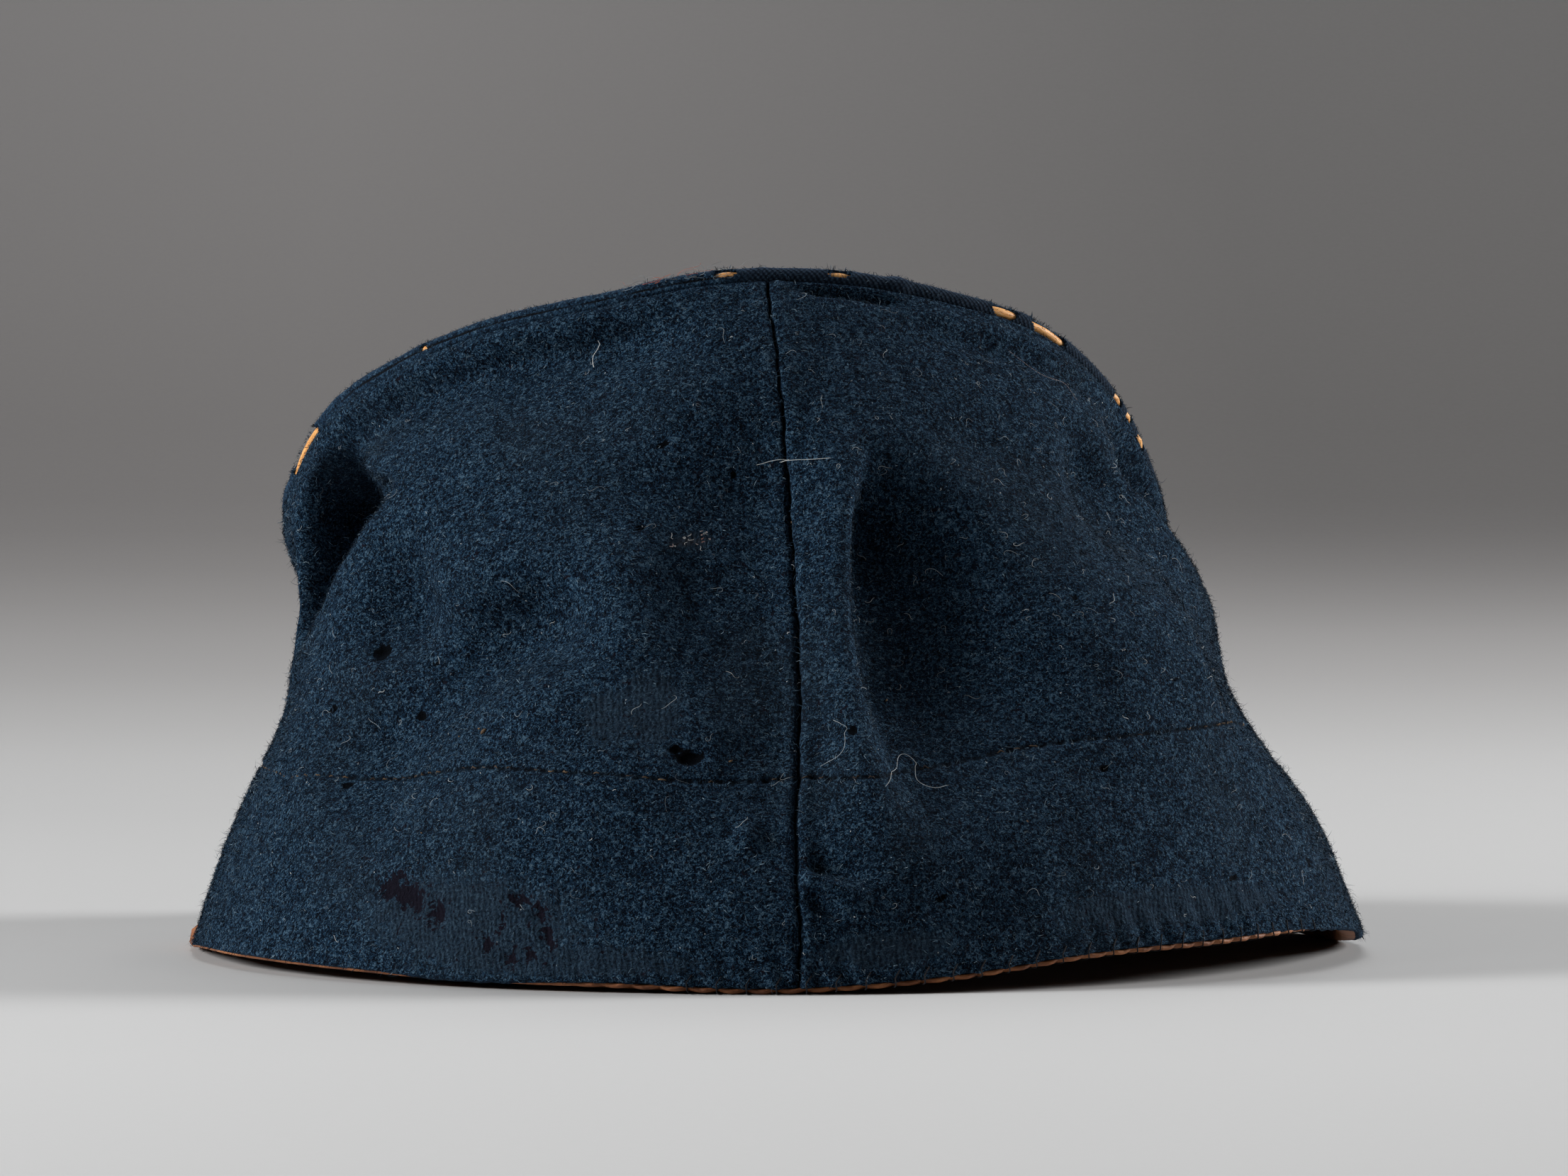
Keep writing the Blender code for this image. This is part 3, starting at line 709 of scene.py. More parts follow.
def cane(name):
    """Split cane: straw-orange, with darker streaks along it."""
    t = Tree(name)
    streak = t.noise(1.6, 4.0, 0.4, 0.6, t.scaled(t.uv, (0.22, 2.6, 1.0)))
    shades = ((0.30, (0.52, 0.20, 0.050)), (0.50, (0.84, 0.40, 0.125)), (0.72, (0.97, 0.58, 0.23)))
    colour = t.ramp(streak, shades)
    colour = t.mix(t.band(t.noise(0.25), 0.55, 0.75) * 0.5, colour, (0.50, 0.20, 0.05))
    return t.finish(colour, 0.48, 0.30, t.bump(streak, 0.35, 0.12))


def tan_leather(name):
    """Tan leather with a fine grain, stained by wear."""
    t = Tree(name)
    grain = t.add("ShaderNodeTexVoronoi", "Distance", {"Vector": t.mm, "Scale": 1.5, "Randomness": 0.9})
    fine = t.noise(2.2, 3.0)
    shades = ((0.32, (0.115, 0.036, 0.014)), (0.50, (0.300, 0.105, 0.036)), (0.70, (0.460, 0.185, 0.070)))
    colour = t.ramp(t.noise(0.16, 3.0, 0.6), shades)
    colour = t.mix(fine * 0.5, colour, (0.13, 0.045, 0.018))
    return t.finish(colour, 0.62, 0.35, t.bump(grain + fine * 0.5, 0.4, 0.2))


def black_leather(name):
    """Glazed peak leather, crazed with age and rubbed brown along its edge."""
    t = Tree(name)
    cells = {"Vector": t.mm, "Scale": 0.16, "Randomness": 1.0}
    crack = t.add("ShaderNodeTexVoronoi", "Distance", cells, feature="DISTANCE_TO_EDGE")
    line = 1.0 - t.band(crack + t.noise(0.5, 4.0, 1.0) * 0.10, 0.035, 0.075)
    scuff = t.band(t.noise(0.12, 4.0, 0.5), 0.52, 0.74)
    edge = t.value("edge")
    colour = t.mix(scuff * 0.6, (0.010, 0.009, 0.008), (0.045, 0.030, 0.020))
    colour = t.mix(edge * 0.75, colour, (0.085, 0.042, 0.022))
    colour = t.mix(line * 0.7, colour, (0.0025, 0.002, 0.002))
    rough = t.math("MAXIMUM", scuff, edge) * 0.3 + 0.30
    return t.finish(colour, rough, 0.5, t.bump(line * -0.8 + t.noise(3.0, 3.0) * 0.35, 0.45, 0.2))


def fibre(name, *shades):
    """Hair or thread, each with its own tone along these shades."""
    t = Tree(name)
    return t.finish(t.ramp(t.value("tone"), shades), 0.85, 0.15)


WOOL = wool("wool_cloth_marked", True)
DISC_WOOL = wool("wool_cloth_plain", False)
NAP = fibre(
    "wool_nap", (0.0, NAVY_DARK), (0.32, NAVY), (0.58, NAVY_LIT), (0.80, FLUFF), (1.0, (0.18, 0.25, 0.30))
)
LINT = fibre(
    "pale_lint", (0.0, (0.08, 0.10, 0.12)), (0.5, (0.26, 0.29, 0.31)), (0.8, (0.50, 0.51, 0.50)),
    (1.0, (0.35, 0.09, 0.05)),
)
TWILL = twill("welt_twill")
CANE = cane("cane_reed")
TAN = tan_leather("tan_sweatband")
BLACK_LEATHER = black_leather("black_peak")
THREAD = fibre(
    "thread", (0.0, (0.004, 0.006, 0.010)), (0.5, (0.045, 0.030, 0.020)), (1.0, (0.150, 0.100, 0.060))
)

# ---------------------------------------------------------------- the cloth side

COLUMNS = (
    (-180, -112, 46), (-112, -36, 118), (-36, -0.6, 62), (-0.6, 8.4, 72), (8.4, 50, 74),
    (50, 110, 92), (110, 180, 46),
)
ROWS = ((0, 0.02, 5), (0.02, 0.255, 34), (0.255, 0.40, 48), (0.40, 0.94, 70), (0.94, 1, 14))
INNER_STEP = 9
WEAVE_HEIGHT = 110.0  # the cloth's height in mm, as its weave has it
SEWN_AT = 0.3  # the share at which lengths round the side are measured
TORN = 6.0
HEM_ROUND = 0.35
TOP_ROUND = 0.25
FAR_OFF = 9.0  # further from the seam and the stitches than they reach
SEAM_DEPTH = 1.0
SEAM_WIDE = 0.30
SEAM_RIDGES = 1.3  # how far from the seam its ridges lie
STITCH_DEPTH = 0.42
STITCH_LINE_DEPTH = 0.14
STITCH_WIDE = 0.50
PUCKER = 0.30
HOLE_DEPTH = 0.75
BARE_DEPTH = 0.55
THIN_DEPTH = 0.12
# Low waves all over the cloth: their height and size in mm, and the seed of their noise.
WAVES = ((0.40, 21.0, 1), (0.24, 8.0, 2), (0.12, 3.1, 3), (0.07, 1.5, 16))


def stitch_share(angle):
    """The height at which the sweatband is sewn to the cloth. The row sags where the photo shows it."""
    level = BAND_HEIGHT / side_height(angle)
    return level + (smooth_line(angle, *zip(*STITCHES)) - level) * between(angle, -62, 82, 11, 17.5)


def hem_phase(angle):
    """How many stitches of the hem there are from the back to an angle."""
    return angle * girth_per_degree(0.0) / HEM_PITCH


def nearest(spots, angle, share):
    """1 at the middle of a spot, 0.5 at its edge, and on towards 0. The spots are ellipses."""
    best = np.zeros(np.shape(angle))
    girth = girth_per_degree(share)
    height = side_height(angle)
    for at_angle, at_share, wide, high in spots:
        far = np.hypot((angle - at_angle) * girth / wide, (share - at_share) * height / high)
        best = np.maximum(best, 1 / (1 + far**3))
    return best


def side_marks(angle, share):
    """What is worn or sewn at each place. The seam and the stitches are given by the distance to them."""
    wander = 0.10 * np.sin(share * 61.0) + 0.07 * np.sin(share * 173.0 + 1.0)
    return {
        "seam": (angle - smooth_line(share, *zip(*SEAM))) * girth_per_degree(share) + wander,
        "stitch": (share - stitch_share(angle)) * side_height(angle),
        "dash": 0.5 - 0.5 * np.cos(2 * math.pi * angle * girth_per_degree(SEWN_AT) / STITCH_PITCH),
        # The row sinks out of sight on the wearer's left.
        "sewn": 1 - 0.92 * between(angle, -78, -46, 12, 5),
        "pit": nearest(HOLES, angle, share),
        "bare": nearest(BARE, angle, share),
        "thin": nearest(THIN, angle, share),
        "rubbed": nearest(RUBBED, angle, share),
    }


def cloth_face(angle, share):
    """The outer face of the side with its small folds, seam, stitches, puckers and worn places."""
    place = side_point(angle, share)
    normal = grid_normals(place, closed=True)
    marks = side_marks(angle, share)
    up = share * side_height(angle)
    lift = sum(-fold.depth * fold_depth(fold, angle, share) for fold in FINE_FOLDS)
    for height, size, seed in WAVES:
        lift += height * noise(place, size, seed)
    lift *= ease((1 - share) * side_height(angle) / FINE_HOLDS)
    # The seam is a groove between two low ridges.
    seam = marks["seam"]
    lift -= SEAM_DEPTH * hump(seam, SEAM_WIDE - 0.12 * ease((share - 0.62) / 0.2))
    lift += 0.30 * hump(seam - SEAM_RIDGES, 0.9) + 0.18 * hump(seam + SEAM_RIDGES, 0.9)
    # Each stitch of the row is sunk, and so is the line between them, a little.
    drawn = hump(marks["stitch"], STITCH_WIDE) * marks["sewn"]
    lift -= STITCH_LINE_DEPTH * drawn + STITCH_DEPTH * drawn * marks["dash"] ** 2
    # The hem is puckered by its stitches, more to the right.
    right = ease((angle - 26) / 8)
    pull = between(angle, -60, 75, 20, 15) * (0.65 + 0.5 * noise(place, 7.0, 23))
    pucker = np.cos(2 * math.pi * (hem_phase(angle) + up * 0.07)) * hump(up, 5.0 + 4.5 * right)
    lift += PUCKER * (1 + 0.6 * right) * pull * pucker
    lift -= HOLE_DEPTH * ease((marks["pit"] - 0.25) / 0.5)
    lift -= BARE_DEPTH * ease((marks["bare"] + 0.20 * noise(place, 1.6, 4) - 0.36) / 0.2)
    lift -= THIN_DEPTH * ease((marks["thin"] - 0.3) / 0.4)
    place = place + normal * lift[..., None]
    # The hem is drawn up a little between its stitches, so the leather shows there.
    rise = (0.22 + 0.30 * np.sin(math.pi * hem_phase(angle)) ** 2) * between(angle, -24, 62, 14, 16)
    droop = 0.40 * (1 - between(angle, -30, 66, 16, 14)) * (1 - 0.75 * ease((-32 - angle) / 8))
    place[..., 2] += (rise - droop) * np.exp(-up / 1.6)
    # The cloth's top edge is drawn in under the welt.
    below = seat_directions(angle)[0]
    place = place - below * (GAP * 0.9 * ease(1 - (1 - share) * side_height(angle) / 2.0))[..., None]
    return place, marks


def torn_away(angle):
    """How far up the hem is worn away low on the wearer's left, in mm."""
    return TORN * between(angle, -103, -82.5, 8, 2.5)


def make_side():
    angles = stops(COLUMNS)
    shares = np.append(stops(ROWS), 1)
    angle, share = np.meshgrid(angles, shares)
    ragged = 1 + 0.10 * np.sin(angle * 0.7) + 0.05 * np.sin(angle * 1.9)
    torn = torn_away(angle) * ragged / side_height(angle)
    share = torn + (1 - torn) * share
    outer, marks = cloth_face(angle, share)
    # The inner face is coarser, and leaves out what is only on the outside.
    inner_rows = np.unique(np.append(np.arange(0, len(shares), INNER_STEP), len(shares) - 1))
    plain = side_point(angle[inner_rows], share[inner_rows])
    inner = plain - grid_normals(plain, closed=True) * CLOTH
    below, through = seat_directions(angles)
    inner[0, :, 2] = outer[0, :, 2]
    inner[-1] = outer[-1] - through * CLOTH
    hem = (outer[:1] + inner[:1]) / 2 - [0, 0, HEM_ROUND]
    top = (outer[-1:] + inner[-1:]) / 2 - below * TOP_ROUND
    points = np.concatenate([outer, top, inner[::-1], hem])
    rows, columns = points.shape[:2]
    quads = grid_quads(rows, columns, closed_rows=True)
    # Distances along the cloth in mm, for the weave.
    u = np.append(angles, 180.0) * girth_per_degree(SEWN_AT)
    v = np.concatenate([shares, [1], shares[inner_rows][::-1], [0, 0]]) * WEAVE_HEIGHT
    blank = {"seam": FAR_OFF, "stitch": FAR_OFF, "sewn": 1.0}
    values = {}
    for key, value in marks.items():
        rest = np.full((rows - len(shares), columns), blank.get(key, 0.0))
        values[key] = np.concatenate([value, rest])
    add_mesh("body_cloth", points, [quads], WOOL, "body", values, grid_uvs(u, v))
    return angles, shares, Sheet(outer), marks


side_angles, side_shares, side, marks = make_side()


def column_at(angle, angles):
    """The fractional column of a grid that has its columns at these angles."""
    return np.interp(angle, np.append(angles, 180.0), np.arange(len(angles) + 1))


def on_side(angle, share):
    """The point, normal and direction round the cap at places on the side."""
    row = np.interp(share, side_shares, np.arange(len(side_shares)))
    return side.at(row, column_at(angle, side_angles))


# ---------------------------------------------------------------- the disc, welt and reed

DISC_COLUMNS = 200
DISC_RINGS = 34
DISC_ROUND = 0.35
DISC_WAVES = ((0.9, 26.0, 5), (0.40, 9.0, 6), (0.12, 3.0, 7))


def disc_sheet(rings):
    """The middle of the disc's cloth, from its edge in. It sags a little and has small waves."""
    angles = np.linspace(-180, 180, DISC_COLUMNS, endpoint=False)
    turn = np.radians(angles)
    edge = crown_point(angles)
    centre = np.array([*CROWN_MIDDLE, edge[:, 2].mean()])
    edge = edge + square_to(centre - edge, along_crown(angles)) * (WELT_RADIUS + TIP_GAP)
    tilt = 2 * (edge[:, 2] * np.cos(turn)).mean()
    roll = 2 * (edge[:, 2] * np.sin(turn)).mean()
    slope = tilt * np.cos(turn) + roll * np.sin(turn)
    rest = edge[:, 2] - centre[2] - slope
    rings = rings[:, None]
    across = centre[:2] + (edge[:, :2] - centre[:2]) * rings[..., None]
    up = centre[2] + slope * rings + rest * rings**2 - CROWN_SAG * (1 - rings**2)
    sheet = np.concatenate([across, up[..., None]], axis=-1)
    free = 1 - rings**6
    sheet[..., 2] += free * sum(height * noise(sheet, size, seed) for height, size, seed in DISC_WAVES)
    return sheet


def make_disc():
    sheet = disc_sheet(np.linspace(0.02, 1, DISC_RINGS))
    normals = -grid_normals(sheet, closed=True)
    normals = np.where(normals[..., 2:] < 0, -normals, normals)
    upper = sheet + normals * CLOTH / 2
    lower = sheet - normals * CLOTH / 2
    edge = sheet[-1:] + unit(sheet[-1:] - sheet[-2:-1]) * DISC_ROUND
    points = np.concatenate([upper, edge, lower[::-1]])
    rows, columns = points.shape[:2]
    quads = grid_quads(rows, columns)[:, ::-1]
    top, bottom = upper[0].mean(axis=0), lower[0].mean(axis=0)
    count = rows * columns
    ring = np.arange(columns)
    after = (ring + 1) % columns
    last = (rows - 1) * columns
    fans = np.concatenate([
        np.stack([ring, after, np.full(columns, count)], -1),
        np.stack([last + after, last + ring, np.full(columns, count + 1)], -1),
    ])
    points = np.concatenate([points.reshape(-1, 3), [top, bottom]])
    add_mesh("crown_disc", points, [quads, fans], DISC_WOOL, "crown_tip")
    return Sheet(upper)


disc = make_disc()

COVER_COLUMNS = (
    (-180, -152.5, 24), (-152.5, -149.5, 15), (-149.5, -76, 70), (-76, -62, 70), (-62, -41, 20),
    (-41, -38.5, 12), (-38.5, -1, 42), (-1, 3, 20), (3, 13, 14), (13, 17.5, 22), (17.5, 34, 26), (34, 51, 88),
    (51, 60.5, 10), (60.5, 72.5, 62), (72.5, 126, 50), (126, 130, 18), (130, 180, 46),
)
COVER_SIDES = 26
COVER_INSIDE = 0.03  # how much further out the cover's inner face is than in the CAD
LINE_DEPTH = 0.34
REED_SIDES = 14
REED_SLACK = 0.015


def tube_directions(angles):
    """The way out and the way up, square to the crown's edge."""
    along = along_crown(angles)
    out = square_to(outward(angles), along)
    return out, np.cross(out, along)


def ring_tube(angles, radius, sides):
    """Points of a tube round the crown edge, one row for each side. The radius may vary."""
    out, up = tube_directions(angles)
    turn = (2 * math.pi * np.arange(sides) / sides)[:, None, None]
    radius = np.broadcast_to(radius, (sides, len(angles)))[..., None]
    return crown_point(angles) + radius * (np.cos(turn) * out + np.sin(turn) * up)


def tube_uvs(angles, sides, radius):
    """Distances along and round the tube, in mm."""
    v = np.arange(sides + 1) / sides * 2 * math.pi * radius
    return grid_uvs(np.append(angles, 180.0) * girth_per_degree(1.0), v)


def worn_through(angle, turn, place):
    """Above 0 where the cover is gone. turn is in degrees round the tube."""
    best = np.full(angle.shape, -9.0)
    ragged = 0.30 * noise(place, 0.9, 8) + 0.20 * noise(place, 2.4, 9)
    for worn in WORN:
        along = (angle - worn.angle) / worn.half
        round_ = half_circle(turn - worn.turn) / worn.girth
        best = np.maximum(best, 1 - np.abs(along) ** 2.4 - np.abs(round_) ** 2.4)
    return best + ragged


def make_cover():
    angles = stops(COVER_COLUMNS)
    sides, columns = COVER_SIDES, len(angles)
    base = ring_tube(angles, WELT_RADIUS, sides)
    lump = 0.35 * hump(angles - 23, 1.4) + 0.18 * hump(angles - 42, 1.2)
    rough = np.where(angles > 23, 0.5, 1.0)
    # On the wearer's left the side's edge has rolled up over the cover. A fine line shows where they meet: a
    # groove, painted dark for the shade in it.
    level = 14.0 - 30.0 * ease((-38 - angles) / 26)
    turn = 360 * (np.arange(sides) / sides)[:, None]
    line = hump(half_circle(turn - level), 11.0) * between(angles, -70, 3, 4, 4)
    line = line * (0.75 + 0.5 * noise(base, 3.5, 24))
    texture = (0.10 * noise(base, 2.2, 10) + 0.07 * noise(base, 0.8, 11)) * rough
    outer = ring_tube(angles, WELT_RADIUS + texture + lump - LINE_DEPTH * line, sides)
    inner = ring_tube(angles, WELT_INSIDE + COVER_INSIDE, sides)
    # Each quad is kept or gone by what is worn through at its middle.
    middle = np.append(angles[1:], 180.0) / 2 + angles / 2
    centre = (base + np.roll(base, -1, 0) + np.roll(base, -1, 1) + np.roll(base, (-1, -1), (0, 1))) / 4
    gone = worn_through(np.broadcast_to(middle, (sides, columns)), turn + 180 / sides, centre) > 0
    keep = ~gone
    quads = grid_quads(sides, columns, closed_rows=True).reshape(sides, columns, 4)
    count = sides * columns
    faces = [quads[keep], quads[keep][:, ::-1] + count]
    # Close the cut edges: each kept quad's side next to a quad that is gone.
    edges = np.zeros_like(keep)
    shifts = ((1, 0, (0, 1)), (-1, 0, (2, 3)), (0, -1, (1, 2)), (0, 1, (3, 0)))
    for row_shift, column_shift, (a, b) in shifts:
        open_ = keep & np.roll(gone, (row_shift, column_shift), (0, 1))
        first, second = quads[open_][:, a], quads[open_][:, b]
        faces.append(np.stack([second, first, first + count, second + count], -1))
        edges |= open_
    flat = tube_uvs(angles, sides, WELT_RADIUS).reshape(sides, columns, 4, 2)[keep]
    walls = sum(len(group) for group in faces[2:])
    uvs = np.concatenate([flat, flat[:, ::-1], np.zeros((walls, 4, 2))])
    values = {"line": np.concatenate([line, 0 * line])}
    points = np.concatenate([outer, inner])
    add_mesh("welt_cover_cloth", points, faces, TWILL, "welt_cover", values, uvs)
    return angles, Sheet(outer), np.nonzero(edges)


cover_angles, cover, cover_edges = make_cover()


def make_reed():
    angles = stops(((-180, -76, 120), (-76, -60, 60), (-60, 34, 150), (34, 74, 120), (74, 180, 120)))
    rough = 0.02 * noise(ring_tube(angles, REED_RADIUS, REED_SIDES), 1.5, 12)
    points = ring_tube(angles, REED_RADIUS + rough - REED_SLACK, REED_SIDES)
    # The cane springs out a little where its cover is gone.
    out, up = tube_directions(angles)
    for worn in WORN:
        way = math.cos(math.radians(worn.turn)) * out + math.sin(math.radians(worn.turn)) * up
        points = points + way * (worn.bow * hump(angles - worn.angle, 1.2 * worn.half))[:, None]
    quads = grid_quads(REED_SIDES, len(angles), closed_rows=True)
    uvs = tube_uvs(angles, REED_SIDES, REED_RADIUS)
    add_mesh("welt_reed_cane", points, [quads], CANE, "welt_reed", uvs=uvs)


make_reed()

# ---------------------------------------------------------------- the sweatband and the peak

# The band's section: how far behind the cloth's outer face, and how far up the side from the rim, in mm.
# It starts at the edge that turns out below the hem, goes up the side next to the cloth and down inside.
BAND_SECTION = (
    (0.75, 0.10), (0.48, 0.38), (0.60, 0.72), (1.4, 0.84), (2.3, 0.95), (2.62, 1.6), (2.7, 3), (2.7, 7),
    (2.7, 12), (2.7, 18), (2.7, 24), (2.7, 30), (2.9, 30.8), (3.3, 31), (3.7, 30.8), (3.9, 30),
    (3.9, 24), (3.9, 18), (3.9, 12), (3.9, 7), (3.9, 3), (3.8, 1.5), (3.3, 0.35), (2.2, 0.02),
)
BAND_COLUMNS = (
    (-180, -112, 80), (-112, -60, 90), (-60, -26, 60), (-26, 66, 420), (66, 112, 70), (112, 180, 80),
)


def make_sweatband():
    angles = stops(BAND_COLUMNS)
    behind, up, angle = np.broadcast_arrays(*np.array(BAND_SECTION).T[..., None], angles)
    share = np.maximum(up - BAND_SHOWS, 0) / side_height(angle)
    # The side's own directions, from a plain grid of it.
    top, rows = 0.35, 14
    plain = Sheet(side_point(*np.broadcast_arrays(angles, np.linspace(0, top, rows + 1)[:, None])))
    row = np.minimum(share / top * rows, rows - 0.01)
    _, normal, _ = plain.at(row, np.broadcast_to(np.arange(len(angles)), row.shape))
    level = unit(normal * [1, 1, 0])
    tilt = ease(up / 4)[..., None]
    # Where the cloth is worn away the leather's edge has spread out past it.
    spread = torn_away(angle) / TORN * between(up, 0.2, 7.5, 0.8, 1.5) * (behind < 2.9)
    behind = behind * (1 - spread) + spread * (0.1 - 0.2 * up)
    points = side_point(angle, share) - unit(level * (1 - tilt) + normal * tilt) * behind[..., None]
    low = ease((1.6 - up) / 0.9)
    points[..., 2] = points[..., 2] * (1 - low) + (rim_height(angle) + up * 0.95) * low
    # Between the stitches of the hem the edge bows down and out, and at each stitch it is drawn in.
    sewn = np.abs(np.sin(math.pi * hem_phase(angle))) ** 0.7
    edge = ease((1.2 - up) / 0.6) * (behind < 2.0) * between(angle, -22, 66, 10, 10)
    points -= level * (edge * (0.55 - 0.75 * sewn))[..., None]
    points[..., 2] += edge * (1 - sewn) * 0.42
    points += normal * (0.10 * noise(points, 5.0, 13) * ease(up / 6))[..., None]
    points += level * (0.16 * noise(points, 1.3, 25) * ease((1.3 - up) / 0.6))[..., None]
    quads = grid_quads(*up.shape, closed_rows=True)
    add_mesh("sweatband_leather", points, [quads], TAN, "sweatband")


make_sweatband()


def make_peak():
    columns, rows = 150, 44
    angles = np.linspace(180 - PEAK_HALF_ANGLE, 180 + PEAK_HALF_ANGLE, columns)
    root = side_point(angles, PEAK_UP / side_height(angles)) + outward(angles) * PEAK_CLEAR
    aside = np.abs(angles - 180) / PEAK_HALF_ANGLE
    reach = PEAK_REACH * (1 - aside**PEAK_FULLNESS) ** PEAK_ROUNDNESS + PEAK_ROOT
    ahead = unit((1 - PEAK_FORWARD) * outward(angles) + PEAK_FORWARD * np.array([0, -1, 0]))
    run = np.linspace(0, 1, rows)[:, None]
    sheet = root + ahead * (reach * run)[..., None]
    half = PEAK_LEATHER / 2
    start = root[:, 2] + half
    fall = (start - half) * reach / reach.max()
    sheet[..., 2] = start - fall * run**PEAK_DROOP
    normals = -grid_normals(sheet, closed=False)
    to_edge = (1 - run) * reach
    rounded = np.sqrt(np.clip(1 - (1 - np.minimum(to_edge, 1)) ** 2, 0.02, 1))[..., None]
    swell = (0.10 * noise(sheet, 12.0, 14) + 0.05 * noise(sheet, 4.0, 15))[..., None]
    upper = sheet + normals * (half + swell) * rounded
    lower = sheet - normals * half * rounded
    points = np.concatenate([lower, upper[::-1]])
    worn = hump(to_edge, 1.6)
    values = {"edge": np.concatenate([worn, worn[::-1]])}
    quads = grid_quads(2 * rows, columns, closed_rows=True, closed_columns=False)
    row = np.arange(rows - 1)
    ends = []
    for column, flip in ((0, False), (columns - 1, True)):
        low, high = row * columns + column, (2 * rows - 1 - row) * columns + column
        cap = np.stack([low, low + columns, high - columns, high], -1)
        ends.append(cap[:, ::-1] if flip else cap)
    add_mesh("peak_leather", points, [quads, *ends], BLACK_LEATHER, "peak", values)


make_peak()

# ---------------------------------------------------------------- nap, lint and threads


def nap_fibres(name, sheet, density, count, slot, length, width, rise, tones):
    """Short bent fibres that lie and curl on a surface in changing directions."""
    row, column = sheet.scatter(count, density)
    place, normal, round_ = sheet.at(row, column)
    up = np.cross(normal, round_)
    swirl = 2.2 * noise(place, 6.0, 20) + 1.3 * noise(place, 1.7, 21)
    turn = -0.5 * math.pi + swirl + RNG.normal(0, 1.4, count)
    bend = RNG.normal(0, 1.5, count)
    lean = np.radians(RNG.uniform(*rise, count))
    half = RNG.uniform(*length, count)[:, None] / 2

    def heading(turn, lean):
        flat = np.cos(turn)[:, None] * round_ + np.sin(turn)[:, None] * up
        return flat * np.cos(lean)[:, None] + normal * np.sin(lean)[:, None]

    first = heading(turn, lean)
    second = heading(turn + bend, lean * RNG.uniform(-0.3, 1.0, count))
    middle = place + first * half
    paths = np.stack([place - normal * 0.08, middle, middle + second * half], axis=1)
    roll = RNG.uniform(-1.25, 1.25, count)[:, None]
    side = unit(np.cross(first, normal))
    side = side * np.cos(roll) + np.cross(first, side) * np.sin(roll)
    wide = RNG.uniform(*width, count)[:, None] * np.array([1.0, 0.85, 0.2])
    tone = np.clip(RNG.beta(*tones, count) + 0.12 * noise(place, 2.5, 22), 0, 1)
    hair_mesh(name, paths, side[:, None], wide, NAP, tone)


def make_nap():
    """Nap on the side, thin at the front and gone where it is worn or sewn, and on the disc and the welt."""
    angle = np.broadcast_to(side_angles, side.points.shape[:2])
    density = 0.16 + 0.84 * ease((112 - np.abs(angle)) / 8)
    density *= 1 - ease((marks["pit"] - 0.08) / 0.14)
    density *= 1 - ease((marks["bare"] - 0.26) / 0.16)
    density *= ease((np.abs(marks["seam"]) - 0.2) / 0.5)
    density *= 1 - 0.8 * hump(marks["stitch"], 0.5)
    density *= 1 - 0.85 * ease((marks["thin"] - 0.3) / 0.35)
    fringe = density * (0.4 + ease((marks["bare"] - 0.2) / 0.2))
    all_disc, all_cover = (np.ones(sheet.points.shape[:2]) for sheet in (disc, cover))
    wool_, welt = "wool_cloth", "welt_cloth"
    look = ((0.45, 1.3), (0.06, 0.10), (6, 38), (0.55, 1.2))
    for number in (1, 2, 3):
        nap_fibres(f"side_nap_{number}", side, density, 50000, wool_, *look)
    nap_fibres("disc_nap", disc, all_disc, 16000, wool_, (0.6, 1.5), (0.06, 0.09), (8, 34), (1.3, 2.2))
    nap_fibres("side_fuzz", side, fringe, 11000, wool_, (1.1, 2.4), (0.045, 0.065), (18, 65), (1.8, 2.0))
    nap_fibres("welt_fuzz", cover, all_cover, 14000, welt, (0.35, 1.1), (0.05, 0.08), (10, 50), (1.4, 2.2))


make_nap()


def curls(name, count, low, high, length, width, lift, seed, tones, brightest=0.8):
    """Loose curly hairs lying on the side. Places are between low and high, each an angle and a share."""
    rng = np.random.default_rng(seed)
    steps = 14
    angle = rng.uniform(low[0], high[0], count)[:, None]
    root = rng.uniform(low[1], high[1], count)[:, None]
    run = np.linspace(0, 1, steps)
    long_ = rng.uniform(*length, count) * rng.uniform(0.5, 1, count)
    start = rng.uniform(0, 2 * math.pi, count)[:, None]
    wind = rng.normal(0, 3.2, count)[:, None]
    wave = rng.uniform(0.4, 1.6, count)[:, None]
    turn = start + wind * run + wave * np.sin(5 * run + rng.uniform(0, 6, count)[:, None])
    step = (long_ / (steps - 1))[:, None]
    x = np.cumsum(np.cos(turn) * step, axis=1)
    y = np.cumsum(np.sin(turn) * step, axis=1)
    share = np.clip(root + y / side_height(angle), 0.004, 0.999)
    place, normal, _ = on_side(angle + x / girth_per_degree(root), share)
    off = 0.25 + lift * rng.random((count, 1)) * np.sin(math.pi * run) ** 2 + 0.1 * rng.random((count, 1))
    paths = place + normal * off[..., None]
    wide = rng.uniform(*width, count)[:, None] * (0.5 + 0.5 * np.sin(math.pi * np.clip(run, 0.1, 0.95)))
    tone = rng.beta(*tones, count) * brightest
    hair_mesh(name, paths, flat_on(paths, normal), wide, LINT, tone)


curls("lint_all", 190, (-85, 0.03), (85, 0.97), (1.2, 4.5), (0.045, 0.075), 0.4, 5, (2.4, 2.4))
curls("lint_right", 120, (8, 0.35), (60, 0.95), (1.0, 3.6), (0.050, 0.080), 0.4, 6, (2.6, 2.2))
curls("lint_specks", 420, (-90, 0.02), (90, 0.98), (0.25, 0.7), (0.07, 0.12), 0.1, 7, (1.6, 2.2))
curls("rubbed_hairs", 18, (-6.9, 0.614), (-3.1, 0.636), (0.5, 1.6), (0.07, 0.12), 0.05, 9, (18, 6), 1.1)
curls("lint_front", 60, (95, 0.05), (265, 0.95), (1.2, 4.5), (0.035, 0.06), 0.4, 8, (1.2, 3.4))


